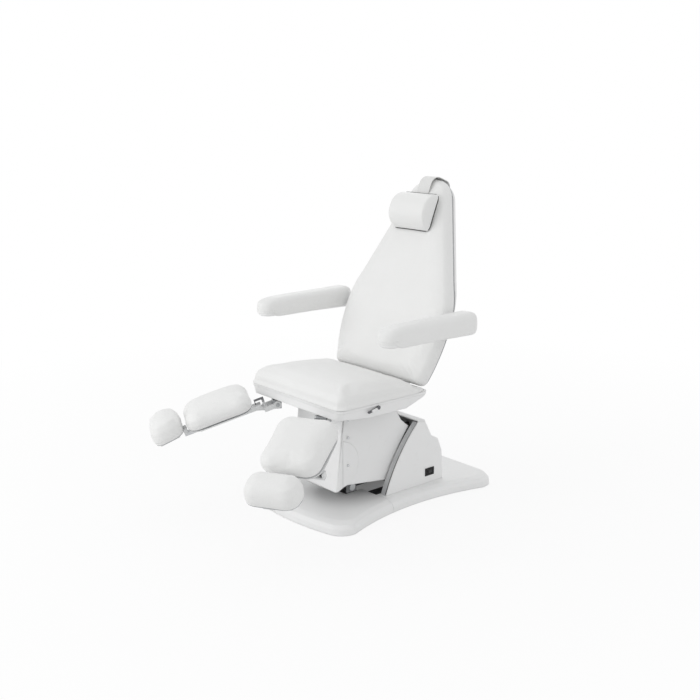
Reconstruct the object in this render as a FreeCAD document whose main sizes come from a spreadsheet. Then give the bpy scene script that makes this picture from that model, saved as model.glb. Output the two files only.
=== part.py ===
import FreeCAD, Part
import math
import os

import Sketcher
from FreeCAD import Placement, Rotation, Vector

# Podiatry chair with a low moulded base, a parallelogram lift, a tilting seat, a reclining
# back, two fold-up armrests and two separate leg rests. The chair faces -Y, the left side of
# the person in it is +X, and the origin lies on the floor under the middle of the base.

SIZES = {
    # Moulded base cover
    "plinth_length": 970,
    "plinth_front_half": 321,
    "plinth_waist_half": 252,
    "plinth_rear_half": 307,
    "plinth_bow": 33,
    "plinth_height": 48,
    "plinth_floor_gap": 2,
    "plinth_wall": 4,
    "plinth_shoulder": 40,
    "plinth_seam_y": -108,
    "plinth_seam_gap": 0.6,
    "well_half": 60,
    "well_front": -200,
    "column_hole_half": 150,
    "column_hole_rear": 196,
    # Steel floor frame
    "frame_end_gap": 45,
    "frame_half": 125,
    "frame_height": 36,
    "frame_rail": 50,
    "frame_end_width": 35,
    "frame_cross_y": 145,
    "frame_cross_width": 60,
    "post_radius": 10,
    "post_inset": 90,
    # Upright plates that carry the lift
    "column_plate_x": 94,
    "column_plate_thickness": 8,
    "column_front": 46,
    "column_rear": 172,
    "column_top": 312,
    "column_top_front": 74,
    "column_top_rear": 126,
    # Parallelogram lift
    "lift_pivot_y": 100,
    "lift_pivot_z": 287,
    "link_spacing": 60,
    "link_length": 330,
    "link_drop_angle": 24,
    "link_half_height": 18,
    "stabiliser_half_height": 14,
    "link_thickness": 12,
    "link_inner_x": 78,
    "pivot_radius": 10,
    "pivot_head_radius": 15,
    "pivot_head": 5,
    "running_gap": 0.06,
    "side_gap": 0.4,
    "stabiliser_tie": 45,
    "bridge_near": 150,
    "bridge_far": 262,
    "bridge_rise": 14,
    "bridge_thickness": 8,
    "crank_radius": 60,
    "crank_pin_radius": 8,
    # Lift actuator
    "lift_motor_z": 80,
    "lift_tube_radius": 22,
    "lift_tube_length": 176,
    "lift_rod_radius": 11,
    "lift_retract": 0,
    "lift_eye_gap": 5.5,
    "lift_bracket_x": 26,
    "lift_bracket_thickness": 6,
    "lift_bracket_half": 20,
    # Column housing between the base and the lift
    "housing_side_gap": 38,
    "housing_wall": 4,
    "housing_front": -87,
    "housing_front_radius": 765,
    "housing_top_front": 100,
    "housing_top_z": 341,
    "housing_top_rear": 142,
    "housing_brow_y": 184,
    "housing_brow_z": 258,
    "housing_ledge_y": 224,
    "housing_ledge_z": 236,
    "housing_back_y": 248,
    "housing_back_z": 180,
    "housing_foot_y": 256,
    "housing_round": 12,
    "trim_width": 28,
    "trim_thickness": 5,
    # Inlet and switch panel
    "panel_y": 168,
    "panel_z": 98,
    "panel_width": 52,
    "panel_height": 34,
    "panel_thickness": 3,
    "rocker_width": 20,
    "rocker_height": 13,
    "rocker_depth": 7,
    "rocker_gap": 0.4,
    # Control box under the rear cover
    "box_width": 130,
    "box_end_gap": 25,
    "box_depth": 30,
    "box_lip": 14,
    "box_lip_thickness": 2,
    # Seat carrier
    "carrier_front": -282,
    "carrier_neck_front": -226,
    "carrier_neck_rear": -176,
    "carrier_foot": 72,
    "carrier_lower_z": 180,
    "carrier_waist_z": 372,
    "carrier_shelf_z": 388,
    "carrier_top_z": 432,
    "carrier_rear": 10,
    "cross_tube_radius": 12,
    "cross_tube_y": -262,
    "cross_tube_z": 200,
    "upper_tube_y": -205,
    "upper_tube_z": 405,
    # Moulded cover of the seat carrier
    "cover_half": 152,
    "cover_wall": 4,
    "cover_tip_y": -325,
    "cover_tip_z": 110,
    "cover_lip_y": -275,
    "cover_lip_z": 133,
    "cover_heel_y": -46,
    "cover_heel_z": 103,
    "cover_rear_radius": 765,
    "cover_shoulder_y": 74,
    "cover_shoulder_z": 316,
    "cover_neck_y": 30,
    "cover_neck_z": 352,
    "cover_top_rear": -20,
    "cover_top_front": -286,
    "cover_top_z": 438,
    "cover_round": 14,
    "bulge_radius": 100,
    "bulge_y": -310,
    "bulge_z": 226,
    "bulge_height": 2,
    "screw_radius": 3,
    "screw_head_radius": 6,
    "screw_head": 2.5,
    "spacer_radius": 8,
    # Seat tilt
    "tilt_pivot_y": -15,
    "tilt_pivot_z": 410,
    "tilt_pin_radius": 9,
    "tilt_lug_x": 108,
    "tilt_lug_thickness": 8,
    "tilt_lug_half": 18,
    "tilt_reach_z": 457,
    "tilt_tube_radius": 18,
    "tilt_tube_length": 205,
    "tilt_rod_radius": 9,
    "tilt_retract": 0,
    "tilt_eye_gap": 1.4,
    "tilt_eye_pin_radius": 7,
    "tilt_eye_half": 10,
    # Seat frame
    "seat_frame_top": 503,
    "seat_tube_height": 25,
    "seat_rail_x": 190,
    "seat_rail_width": 40,
    "seat_frame_front": -415,
    "seat_frame_rear": 20,
    "seat_cross_width": 40,
    "mid_cross_front": -280,
    "mid_cross_rear": -244,
    "rear_bar_front": -218,
    "rear_bar_rear": -188,
    # Seat pan and cushion
    "seat_half": 295,
    "seat_front": -426,
    "seat_rear": 51,
    "pan_top": 508,
    "pan_wall": 4,
    "pan_flange": 11,
    "pan_front_edge": 466,
    "pan_belly": 447,
    "pan_belly_front": -263,
    "pan_belly_rear": -55,
    "pan_rear_edge": 494,
    "pan_round": 28,
    "pan_draft": 24,
    "cushion_gap": 0.3,
    "seat_cushion_rear": -4,
    "seat_cushion_height": 46,
    "seat_cushion_angle": 4.6,
    "seat_cushion_round": 34,
    "seat_cushion_corner": 46,
    # Seat side lever
    "lever_y": -231,
    "lever_z": 491,
    "lever_shaft_radius": 4,
    "lever_boss_radius": 8,
    "lever_length": 52,
    "lever_width": 9,
    "lever_thickness": 6,
    "lever_angle": 12,
    # Back
    "back_angle": 22,
    "back_y": 13,
    "back_z": 566,
    "back_bottom": -32,
    "back_bottom_half": 272,
    "back_hip": 240,
    "back_hip_half": 310,
    "back_side_radius": 700,
    "back_waist": 400,
    "back_waist_half": 268,
    "back_shoulder_radius": 330,
    "back_neck": 765,
    "back_neck_half": 118,
    "back_top": 848,
    "back_corner": 30,
    "back_cushion_depth": 62,
    "back_cushion_crown": 14,
    "back_cushion_round": 30,
    "back_shell_start": 64,
    "back_shell_end": 100,
    "back_shell_inset": 5,
    "back_shell_draft": 22,
    "back_shell_taper": 30,
    "back_shell_wall": 4,
    "back_bar_x": 136,
    "back_bar_thickness": 12,
    "back_bar_depth": 28,
    "back_bar_top": 590,
    "back_pivot_depth": 76,
    "back_pivot_drop": 58,
    "back_pin_radius": 7,
    "back_pin_out": 166,
    "back_ear_x": 150,
    "back_ear_thickness": 10,
    "back_ear_radius": 14,
    "torque_tube_radius": 13,
    "back_crank": 45,
    "back_crank_angle": 30,
    "back_crank_x": 12,
    "back_crank_thickness": 6,
    "back_crank_half": 10,
    "back_crank_pin_radius": 6,
    # Back actuator
    "back_motor_y": -203,
    "back_motor_z": 460,
    "back_tube_radius": 17,
    "back_tube_length": 150,
    "back_rod_radius": 8,
    "back_retract": 46,
    "back_eye_gap": 5,
    # Head cushion and its strap
    "head_half": 111,
    "head_bottom": 600,
    "head_top": 762,
    "head_depth": 70,
    "head_round": 12,
    "strap_width": 70,
    "strap_thickness": 2.5,
    "strap_slack": 2.3,
    "strap_bottom": 596,
    "strap_tail": 640,
    "strap_front_radius": 45,
    "strap_rear_radius": 28,
    # Armrests
    "arm_pivot_depth": 82,
    "arm_pivot_rise": 250,
    "arm_tube_radius": 12.5,
    "arm_tube_reach": 16,
    "arm_collar_radius": 21,
    "arm_collar_width": 24,
    "arm_side_gap": 37,
    "arm_width": 88,
    "arm_front": -488,
    "arm_rear": 19,
    "arm_bottom": -20,
    "arm_nose_angle": 1.4,
    "arm_seam": 18,
    "arm_pad_height": 50,
    "arm_pad_round": 22,
    "arm_socket_depth": 18,
    "arm_shell_round": 12,
    # Leg rests, in a frame with its origin at the hub and the leg along -Y
    "hub_x": 152,
    "hub_y": -397,
    "hub_z": 440,
    "hub_radius": 18,
    "hub_half": 22,
    "hub_flange_radius": 19,
    "hub_flange": 4,
    "hub_pin_radius": 10,
    "hub_boss_radius": 18,
    "hub_boss_top": 503,
    "hub_boss_bottom": 466,
    "hub_axle_radius": 8,
    "hub_axle_half": 34,
    "left_swing_angle": 30,
    "right_swing_angle": 28,
    "left_drop_angle": 24,
    "right_drop_angle": 18,
    "left_extension": 50,
    "right_extension": 0,
    "left_foot_angle": 9,
    "right_foot_angle": -7,
    "leg_fork_thickness": 8,
    "leg_fork_inner": 24,
    "leg_fork_radius": 16,
    "leg_bridge_near": 40,
    "leg_bridge_far": 58,
    "leg_step_near": 64,
    "leg_step_far": 90,
    "leg_bar_rise": 16,
    "leg_bar_width": 40,
    "leg_bar_height": 20,
    "leg_bar_wall": 3,
    "leg_bar_end": 332,
    "leg_slide_gap": 0.4,
    "clamp_out": 124,
    "clamp_length": 24,
    "clamp_thickness": 8,
    "clamp_height": 28,
    "riser_length": 22,
    "riser_near": 140,
    "riser_far": 290,
    "calf_centre": 238,
    "calf_half_length": 138,
    "calf_aside": 2,
    "calf_half_width": 122,
    "calf_bottom": 43,
    "calf_height": 86,
    "calf_round": 50,
    "calf_corner": 66,
    "tray_thickness": 4,
    "tray_inset": 12,
    "calf_tray_inset": 3,
    "slide_start": 120,
    "foot_reach": 390,
    "foot_pivot_rise": 28,
    "foot_pin_radius": 5,
    "foot_eye_radius": 8,
    "foot_ear_thickness": 6,
    "foot_plate_bottom": 12.4,
    "foot_plate_thickness": 4,
    "foot_near": 2,
    "foot_length": 132,
    "foot_half_width": 108,
    "foot_height": 94,
    "foot_round": 38,
    "foot_corner": 56,
    # Release lever on each leg rest
    "hook_pivot": 50,
    "hook_rise": 36,
    "hook_pin_radius": 2.5,
    "hook_half": 11,
    "hook_cheek": 3,
    "hook_length": 36,
    "hook_height": 45,
    "hook_drop": 16,
    # One overrun for every cut
    "overrun": 6,
}

# Sizes that follow from others
FOLLOWING = {
    "frame_length": "plinth_length - 2 * frame_end_gap",
    "post_spread": "frame_length / 2 - post_inset",
    "lift_motor_y": "0 - frame_cross_y",
    "housing_half": "cover_half + housing_side_gap",
    "box_length": "frame_length / 2 - frame_end_width - frame_cross_y - frame_cross_width / 2 - 2 * box_end_gap",
    "arm_inner_x": "back_hip_half + arm_side_gap",
    "arm_tube_half": "arm_inner_x + arm_tube_reach",
}

# Shares of the half lengths at which the base outline turns its corners
FRONT_CORNER_SHARES = ((0.816, 1), (0.953, 0.87), (1, 0.765))
REAR_CORNER_SHARES = ((1, 0.8), (0.925, 0.94), (0.7, 1))
WAIST_SHARE = 0.08

# Height and inset of each level of a moulded edge, as shares of its height and its shoulder
MOULDED_LEVEL_SHARES = ((0, 0), (0.5, 0.06), (0.84, 0.36), (1, 1))

# The same for a stuffed cushion: drawn in at the foot, widest low down, then crowned
CUSHION_LEVEL_SHARES = ((0, 0.3), (0.2, 0), (0.55, 0.06), (0.84, 0.42), (1, 1.3))

# Place across and inset of each section of the head cushion
HEAD_END_SHARES = ((-1, 1.3), (-0.93, 0), (0.93, 0), (1, 1.3))

# How full the front of the head cushion is, as a share of its depth
HEAD_BOW_SHARE = 0.42

# Lower corner of the back as shares of its radius, and how much less its neck draws in
BACK_CORNER_SHARES = (0.16, 0.22, 0.28)
BACK_NECK_SHARES = (0.8, 0.4)

# Draft of the back shell half-way through its depth
SHELL_MIDDLE_SHARE = 0.2

# Heights of the lower screws of the carrier cover between the two ends of the plate
SCREW_HEIGHT_SHARES = (0.15, 0.62)

os.makedirs("parts", exist_ok=True)
doc = FreeCAD.newDocument("podiatry_chair")
sheet = doc.addObject("Spreadsheet::Sheet", "Size")
for row, (alias, value) in enumerate((SIZES | FOLLOWING).items(), start=1):
    sheet.set(f"A{row}", alias)
    sheet.set(f"B{row}", f"={value}" if alias in FOLLOWING else str(value))
    sheet.setAlias(f"B{row}", alias)
doc.recompute()
ALIASES = set(SIZES) | set(FOLLOWING)

nodes = []
SIDES = {"left": 1, "right": -1}
ALONG_X = Rotation(Vector(0, 1, 0), 90)
ALONG_Y = Rotation(Vector(1, 0, 0), -90)


def size(expression):
    """Number behind an expression of sheet names, such as "hub_x + hub_half"."""
    return float(sheet.evalExpression(bound(expression)))


def bound(expression):
    """Expression with each alias pointed at the sheet."""
    words = []
    for word in str(expression).replace("(", "( ").replace(")", " )").split():
        sign = "-" if word.startswith("-") and len(word) > 1 else ""
        name = word[len(sign):]
        words.append(sign + "Size." + name if name in ALIASES else word)
    return " ".join(words)


def node(item, label, placement=None):
    """Name a finished sub-part and put it in place."""
    if placement is not None:
        item.Placement = placement
    item.Label = label
    nodes.append(item)
    return item


def bind(item, **expressions):
    """Bind properties of an object to the sheet; a dot in a name is written as two underlines."""
    for name, expression in expressions.items():
        item.setExpression(name.replace("__", "."), bound(expression))


def seat_at(item, x, y, z, rotation=None):
    """Set the rotation and bind the position."""
    item.Placement = Placement(Vector(), rotation or Rotation())
    bind(item, Placement__Base__x=x, Placement__Base__y=y, Placement__Base__z=z)
    return item


# Primitives with bound sizes


def box(name, x, y, z, length, width, height):
    item = doc.addObject("Part::Box", name)
    bind(item, Length=length, Width=width, Height=height)
    return seat_at(item, x, y, z)


def rod(name, x, y, z, radius, length, rotation=ALONG_X):
    """Cylinder that starts at a point and runs along X unless another rotation is given."""
    item = doc.addObject("Part::Cylinder", name)
    bind(item, Radius=radius, Height=length)
    return seat_at(item, x, y, z, rotation)


def crossrod(name, y, z, radius, half):
    """Cylinder along X, centred on the plane x = 0."""
    return rod(name, f"0 - ( {half} )", y, z, radius, f"2 * ( {half} )")


def fuse(name, *items):
    item = doc.addObject("Part::MultiFuse", name)
    item.Shapes = list(items)
    item.Refine = True
    return item


def pair(name, *items):
    """Separate solids kept together in one sub-part."""
    item = doc.addObject("Part::Compound", name)
    item.Links = list(items)
    return item


def cut(name, base, *tools):
    item = doc.addObject("Part::Cut", name)
    item.Base = base
    item.Tool = tools[0] if len(tools) == 1 else fuse(name + "_tools", *tools)
    return item


def solid(name, shape):
    """Free-form piece whose shape is worked out from the sheet."""
    item = doc.addObject("Part::Feature", name)
    item.Shape = shape
    return item


# Bodies with sketches


def new_sketch(body, name, role, offset=None):
    sketch = body.newObject("Sketcher::SketchObject", name)
    plane = [item for item in body.Origin.OriginFeatures if item.Role == role][0]
    sketch.AttachmentSupport = [(plane, "")]
    sketch.MapMode = "FlatFace"
    if offset is not None:
        bind(sketch, AttachmentOffset__Base__z=offset)
    return sketch


def arc_between(start, end, radius, side):
    """Arc from start to end; side is 1 where its centre lies to the left of the way."""
    chord = end - start
    left = Vector(-chord.y, chord.x, 0).normalize()
    depth = math.sqrt(max(radius ** 2 - (chord.Length / 2) ** 2, 0))
    centre = (start + end) / 2 + left * depth * side
    first, last = (start, end) if side > 0 else (end, start)
    begin = math.atan2(first.y - centre.y, first.x - centre.x)
    finish = math.atan2(last.y - centre.y, last.x - centre.x)
    if finish < begin:
        finish += 2 * math.pi
    return Part.ArcOfCircle(Part.Circle(centre, Vector(0, 0, 1), radius), begin, finish)


def outline(sketch, corners):
    """Closed outline; a corner is (x, y), or (x, y, radius, side) where an arc leaves it."""
    points = [Vector(size(corner[0]), size(corner[1]), 0) for corner in corners]
    start_index = sketch.GeometryCount
    ends = []
    for index, corner in enumerate(corners):
        start = points[index]
        end = points[(index + 1) % len(points)]
        if len(corner) == 4:
            edge = arc_between(start, end, size(corner[2]), corner[3])
            ends.append((1, 2) if corner[3] > 0 else (2, 1))
        else:
            edge = Part.LineSegment(start, end)
            ends.append((1, 2))
        sketch.addGeometry(edge, False)
    for index, corner in enumerate(corners):
        after = (index + 1) % len(corners)
        here = start_index + index
        there = start_index + after
        sketch.addConstraint(
            Sketcher.Constraint("Coincident", here, ends[index][1], there, ends[after][0]))
    for index, corner in enumerate(corners):
        here = start_index + index
        first = ends[index][0]
        limit(sketch, Sketcher.Constraint("DistanceX", -1, 1, here, first, points[index].x), corner[0])
        limit(sketch, Sketcher.Constraint("DistanceY", -1, 1, here, first, points[index].y), corner[1])
        if len(corner) == 4:
            limit(sketch, Sketcher.Constraint("Radius", here, size(corner[2])), corner[2])
    return sketch


def circle(sketch, x, y, radius):
    centre = Vector(size(x), size(y), 0)
    here = sketch.addGeometry(Part.Circle(centre, Vector(0, 0, 1), size(radius)), False)
    limit(sketch, Sketcher.Constraint("DistanceX", -1, 1, here, 3, centre.x), x)
    limit(sketch, Sketcher.Constraint("DistanceY", -1, 1, here, 3, centre.y), y)
    limit(sketch, Sketcher.Constraint("Radius", here, size(radius)), radius)


def limit(sketch, constraint, expression):
    """Add a constraint and bind it to the sheet."""
    index = sketch.addConstraint(constraint)
    sketch.setExpression(f"Constraints[{index}]", bound(expression))


def rectangle(sketch, left, bottom, right, top):
    outline(sketch, ((left, bottom), (right, bottom), (right, top), (left, top)))


def extrude(body, kind, sketch, length, symmetric=False, reverse=False):
    """Pad or pocket a sketch."""
    feature = body.newObject("PartDesign::" + kind, sketch.Name + kind)
    feature.Profile = sketch
    bind(feature, Length=length)
    feature.SideType = "Symmetric" if symmetric else "One side"
    feature.Reversed = reverse
    sketch.Visibility = False
    return feature


def round_edges(body, feature, radius, wanted):
    """Fillet the edges of a feature for which wanted(edge) holds."""
    doc.recompute()
    names = [f"Edge{number}" for number, edge in enumerate(feature.Shape.Edges, 1) if wanted(edge)]
    fillet = body.newObject("PartDesign::Fillet", feature.Name + "Round")
    fillet.Base = (feature, names)
    bind(fillet, Radius=radius)
    return fillet


def new_body(name):
    return doc.addObject("PartDesign::Body", name)


# Soft and moulded forms


def path(points):
    """Closed wire; a pair (middle, end) is an arc from the last point, a vector ends a line."""
    edges = []
    last = points[0]
    for step in points[1:]:
        if isinstance(step, tuple):
            edges.append(Part.Arc(last, step[0], step[1]).toShape())
            last = step[1]
        else:
            edges.append(Part.LineSegment(last, step).toShape())
            last = step
    if not last.isEqual(points[0], 1e-7):
        edges.append(Part.LineSegment(last, points[0]).toShape())
    return Part.Wire(edges)


def rounded_rectangle(half, front, rear, corner):
    """Rectangle about x = 0 with four rounded corners, as a wire at z = 0."""
    bend = corner * (1 - math.sqrt(0.5))
    points = [Vector(corner - half, front, 0), Vector(half - corner, front, 0)]
    points.append((Vector(half - bend, front + bend, 0), Vector(half, front + corner, 0)))
    points.append(Vector(half, rear - corner, 0))
    points.append((Vector(half - bend, rear - bend, 0), Vector(half - corner, rear, 0)))
    points.append(Vector(corner - half, rear, 0))
    points.append((Vector(bend - half, rear - bend, 0), Vector(-half, rear - corner, 0)))
    points.append(Vector(-half, front + corner, 0))
    points.append((Vector(bend - half, front + bend, 0), points[0]))
    return path(points)


def stack(outline_at, levels, height, inset, start=0, slope=0, hinge=0):
    """Loft through an outline that draws in from level to level and may lean about y = hinge."""
    wires = []
    for height_share, inset_share in levels:
        wire = outline_at(inset * inset_share)
        wire.rotate(Vector(0, hinge, 0), Vector(1, 0, 0), -slope * height_share)
        wire.translate(Vector(0, 0, start + height * height_share))
        wires.append(wire)
    return Part.makeLoft(wires, True, True)


def cushion(name, half, front, rear, corner, height, roundness, bottom, slope=0):
    """Stuffed cushion on the plane z = bottom."""
    def outline_at(inset):
        return rounded_rectangle(half - inset, front + inset, rear - inset, corner - inset)
    shape = stack(outline_at, CUSHION_LEVEL_SHARES, height, roundness, bottom, slope, rear)
    return solid(name, shape)


def block(low_x, low_y, low_z, high_x, high_y, high_z):
    """Plain cutter between two corners."""
    corner = Vector(low_x, low_y, low_z)
    return Part.makeBox(high_x - low_x, high_y - low_y, high_z - low_z, corner)


# Frames of the moving groups

S = {alias: size(alias) for alias in ALIASES}
LIFT = Placement(
    Vector(0, S["lift_pivot_y"], S["lift_pivot_z"]),
    Rotation(Vector(1, 0, 0), S["link_drop_angle"]))
STABILISER = Placement(
    Vector(0, S["lift_pivot_y"], S["lift_pivot_z"] - S["link_spacing"]),
    Rotation(Vector(1, 0, 0), S["link_drop_angle"]))
BACK = Placement(Vector(0, S["back_y"], S["back_z"]), Rotation(Vector(1, 0, 0), -S["back_angle"]))
BACK_PIVOT = BACK.multVec(Vector(0, S["back_pivot_depth"], -S["back_pivot_drop"]))
ARM_PIVOT = BACK.multVec(Vector(0, S["arm_pivot_depth"], S["arm_pivot_rise"]))
FRONT_PIVOT = LIFT.multVec(Vector(0, -S["link_length"], 0))
FRONT_PIVOT_LOW = STABILISER.multVec(Vector(0, -S["link_length"], 0))


def leg_frame(side, name):
    """Frame of the leg rest, swung outwards and dropped about its hub."""
    swing = Rotation(Vector(0, 0, 1), side * S[name + "_swing_angle"])
    drop = Rotation(Vector(1, 0, 0), S[name + "_drop_angle"])
    return Placement(Vector(side * S["hub_x"], S["hub_y"], S["hub_z"]), swing.multiply(drop))


def hub_frame(side, name):
    swing = Rotation(Vector(0, 0, 1), side * S[name + "_swing_angle"])
    return Placement(Vector(side * S["hub_x"], S["hub_y"], S["hub_z"]), swing)


def foot_frame(side, name):
    reach = S["foot_reach"] + S[name + "_extension"]
    hinge = Placement(
        Vector(0, -reach, S["foot_pivot_rise"]),
        Rotation(Vector(1, 0, 0), -S[name + "_foot_angle"]))
    return leg_frame(side, name).multiply(hinge)


# Base


def make_base_frame():
    """Ladder of flat steel members that stands on the floor, with posts under the cover."""
    body = new_body("FloorFrame")
    sketch = new_sketch(body, "FrameOutline", "XY_Plane")
    rectangle(sketch, "0 - frame_half", "0 - frame_length / 2", "frame_half", "frame_length / 2")
    extrude(body, "Pad", sketch, "frame_height")
    windows = new_sketch(body, "FrameWindows", "XY_Plane")
    inner = "frame_half - frame_rail"
    middle = "frame_cross_y - frame_cross_width / 2"
    near = "frame_cross_y + frame_cross_width / 2"
    far = "frame_length / 2 - frame_end_width"
    for start, end in ((f"0 - ( {far} )", f"0 - ( {near} )"), (f"0 - ( {middle} )", middle), (near, far)):
        rectangle(windows, f"0 - ( {inner} )", start, inner, end)
    extrude(body, "Pocket", windows, "frame_height", reverse=True)
    posts = new_sketch(body, "CoverPosts", "XY_Plane", "frame_height")
    for x in ("frame_rail / 2 - frame_half", "frame_half - frame_rail / 2"):
        for y in ("0 - post_spread", "post_spread"):
            circle(posts, x, y, "post_radius")
    extrude(body, "Pad", posts, "plinth_height - plinth_wall - frame_height")
    node(body, "base_frame")


def make_column_plates():
    """Two upright plates on the frame rails, bored for the lift pivots."""
    for name, side in SIDES.items():
        body = new_body("ColumnPlate" + name)
        inner = "column_plate_x" if side > 0 else "0 - column_plate_x - column_plate_thickness"
        sketch = new_sketch(body, "ColumnPlateOutline" + name, "YZ_Plane", inner)
        outline(sketch, (
            ("column_front", "frame_height"), ("column_rear", "frame_height"),
            ("column_top_rear", "column_top"), ("column_top_front", "column_top")))
        circle(sketch, "lift_pivot_y", "lift_pivot_z", "pivot_radius + running_gap")
        circle(sketch, "lift_pivot_y", "lift_pivot_z - link_spacing", "pivot_radius + running_gap")
        extrude(body, "Pad", sketch, "column_plate_thickness")
        node(body, "column_plate_" + name)


def headed_pin(name, y, z, radius, half, head_radius, head):
    """Shaft along X with a flat head on its left end; the right end stands out as far."""
    shaft = crossrod(name + "Shaft", y, z, radius, f"{half} + {head}")
    left = rod(name + "Head", half, y, z, head_radius, head)
    return fuse(name, shaft, left)


def make_lift_pins():
    """Pivot shafts in the column plates and in the seat carrier."""
    half = "column_plate_x + column_plate_thickness + side_gap"
    for label, y, z in (
        ("lift_shafts", "lift_pivot_y", "lift_pivot_z"),
        ("carrier_shafts", front_y(), front_z()),
    ):
        upper = headed_pin(label + "Upper", y, z, "pivot_radius", half, "pivot_head_radius", "pivot_head")
        lower = headed_pin(label + "Lower", y, z + " - link_spacing", "pivot_radius", half,
                           "pivot_head_radius", "pivot_head")
        node(pair(label, upper, lower), label)


def front_y():
    return "lift_pivot_y - link_length * cos( link_drop_angle * 1deg )"


def front_z():
    return "lift_pivot_z - link_length * sin( link_drop_angle * 1deg )"


def make_lift_bracket():
    """Fork on the middle cross member that holds the foot of the lift actuator."""
    inner = "lift_bracket_x"
    far = "lift_motor_z - frame_height + lift_bracket_half"
    cheeks = []
    for name, start in (("Left", inner), ("Right", f"0 - {inner} - lift_bracket_thickness")):
        cheeks.append(box(
            "BracketCheek" + name, start, "lift_motor_y - lift_bracket_half", "frame_height",
            "lift_bracket_thickness", "2 * lift_bracket_half", far))
    outer = "( lift_bracket_x + lift_bracket_thickness )"
    foot = box(
        "BracketFoot", f"0 - {outer}", "lift_motor_y - lift_bracket_half", "frame_height",
        f"2 * {outer}", "2 * lift_bracket_half", "lift_bracket_thickness")
    pin = crossrod("BracketPin", "lift_motor_y", "lift_motor_z", "crank_pin_radius", outer)
    node(fuse("LiftBracket", *cheeks, foot, pin), "actuator_bracket")


def plinth_outline(inset):
    """Outline of the base: bowed front, round corners and a drawn-in waist."""
    front = S["plinth_front_half"] - inset
    rear = S["plinth_rear_half"] - inset
    waist = S["plinth_waist_half"] - inset
    along = S["plinth_length"] / 2 - inset
    start, corner, finish = [Vector(front * x, -along * y, 0) for x, y in FRONT_CORNER_SHARES]
    start.y += S["plinth_bow"]
    heel, bend, back = [Vector(rear * x, along * y, 0) for x, y in REAR_CORNER_SHARES]
    middle = Vector(waist, along * WAIST_SHARE, 0)

    def across(point):
        return Vector(-point.x, point.y, 0)
    return path([
        across(start), (Vector(0, -along, 0), start), (corner, finish), (middle, heel),
        (bend, back), across(back), (across(bend), across(heel)),
        (across(middle), across(finish)), (across(corner), across(start))])


def make_plinth():
    """Moulded cover in two shells that meet at a seam in front of the column."""
    floor = S["plinth_floor_gap"]
    height = S["plinth_height"] - floor
    wall = S["plinth_wall"]
    over = S["overrun"]
    outer = stack(plinth_outline, MOULDED_LEVEL_SHARES, height, S["plinth_shoulder"], floor)

    def inner_outline(inset):
        return plinth_outline(inset + wall)
    inner = stack(inner_outline, MOULDED_LEVEL_SHARES, height - wall, S["plinth_shoulder"], floor)
    skirt = inner_outline(0)
    skirt.translate(Vector(0, 0, floor - over))
    opening = Part.Face(skirt).extrude(Vector(0, 0, over))
    shell = outer.cut(inner.fuse(opening))
    half = S["plinth_front_half"] + over
    reach = S["plinth_length"] / 2 + over
    top = S["plinth_height"] + over
    seam = S["plinth_seam_y"]
    gap = S["plinth_seam_gap"] / 2
    well = block(-S["well_half"], S["well_front"], 0, S["well_half"], seam + over, top)
    hole_half = S["column_hole_half"]
    hole = block(-hole_half, seam - over, 0, hole_half, S["column_hole_rear"], top)
    front = shell.cut(block(-half, seam - gap, -over, half, reach, top)).cut(well)
    rear = shell.cut(block(-half, -reach, -over, half, seam + gap, top)).cut(hole)
    node(solid("PlinthFront", front), "plinth_front")
    node(solid("PlinthRear", rear), "plinth_rear")


def housing_profile(sketch):
    outline(sketch, (
        ("housing_front", "plinth_height", "housing_front_radius", -1),
        ("housing_top_front", "housing_top_z"),
        ("housing_top_rear", "housing_top_z - housing_wall"),
        ("housing_brow_y", "housing_brow_z"),
        ("housing_ledge_y", "housing_ledge_z"),
        ("housing_back_y", "housing_back_z"),
        ("housing_foot_y", "plinth_height")))


def make_housing():
    """Column housing: two wings and a stepped back in one shell, open to the front."""
    body = new_body("Housing")
    profile = new_sketch(body, "HousingProfile", "YZ_Plane")
    housing_profile(profile)
    block_pad = extrude(body, "Pad", profile, "2 * housing_half", symmetric=True)
    top_front = S["housing_top_front"]
    half = S["housing_half"]

    def side_edge(edge):
        box_of = edge.BoundBox
        behind = box_of.YMin > top_front - S["housing_wall"]
        beside = abs(abs(box_of.XMin) - half) < S["side_gap"]
        return box_of.XLength < S["running_gap"] and beside and behind
    round_edges(body, block_pad, "housing_round", side_edge)
    hollow = new_sketch(body, "HousingHollow", "YZ_Plane")
    outline(hollow, (
        ("housing_front - overrun", "plinth_height - overrun"),
        ("housing_front - overrun", "housing_top_z - housing_wall"),
        ("housing_top_front", "housing_top_z - housing_wall"),
        ("housing_top_rear - housing_wall", "housing_top_z - 2 * housing_wall"),
        ("housing_brow_y - housing_wall", "housing_brow_z - housing_wall / 2"),
        ("housing_ledge_y - housing_wall", "housing_ledge_z - housing_wall"),
        ("housing_back_y - housing_wall", "housing_back_z - housing_wall / 2"),
        ("housing_foot_y - housing_wall", "plinth_height - overrun")))
    extrude(body, "Pocket", hollow, "2 * ( housing_half - housing_wall )", symmetric=True)
    window = new_sketch(body, "HousingWindow", "YZ_Plane", "housing_half + overrun")
    rectangle(window, "panel_y - rocker_width / 2 - rocker_gap",
              "panel_z - rocker_height / 2 - rocker_gap",
              "panel_y + rocker_width / 2 + rocker_gap",
              "panel_z + rocker_height / 2 + rocker_gap")
    extrude(body, "Pocket", window, "housing_wall + 2 * overrun")
    node(body, "housing_shell")


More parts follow.
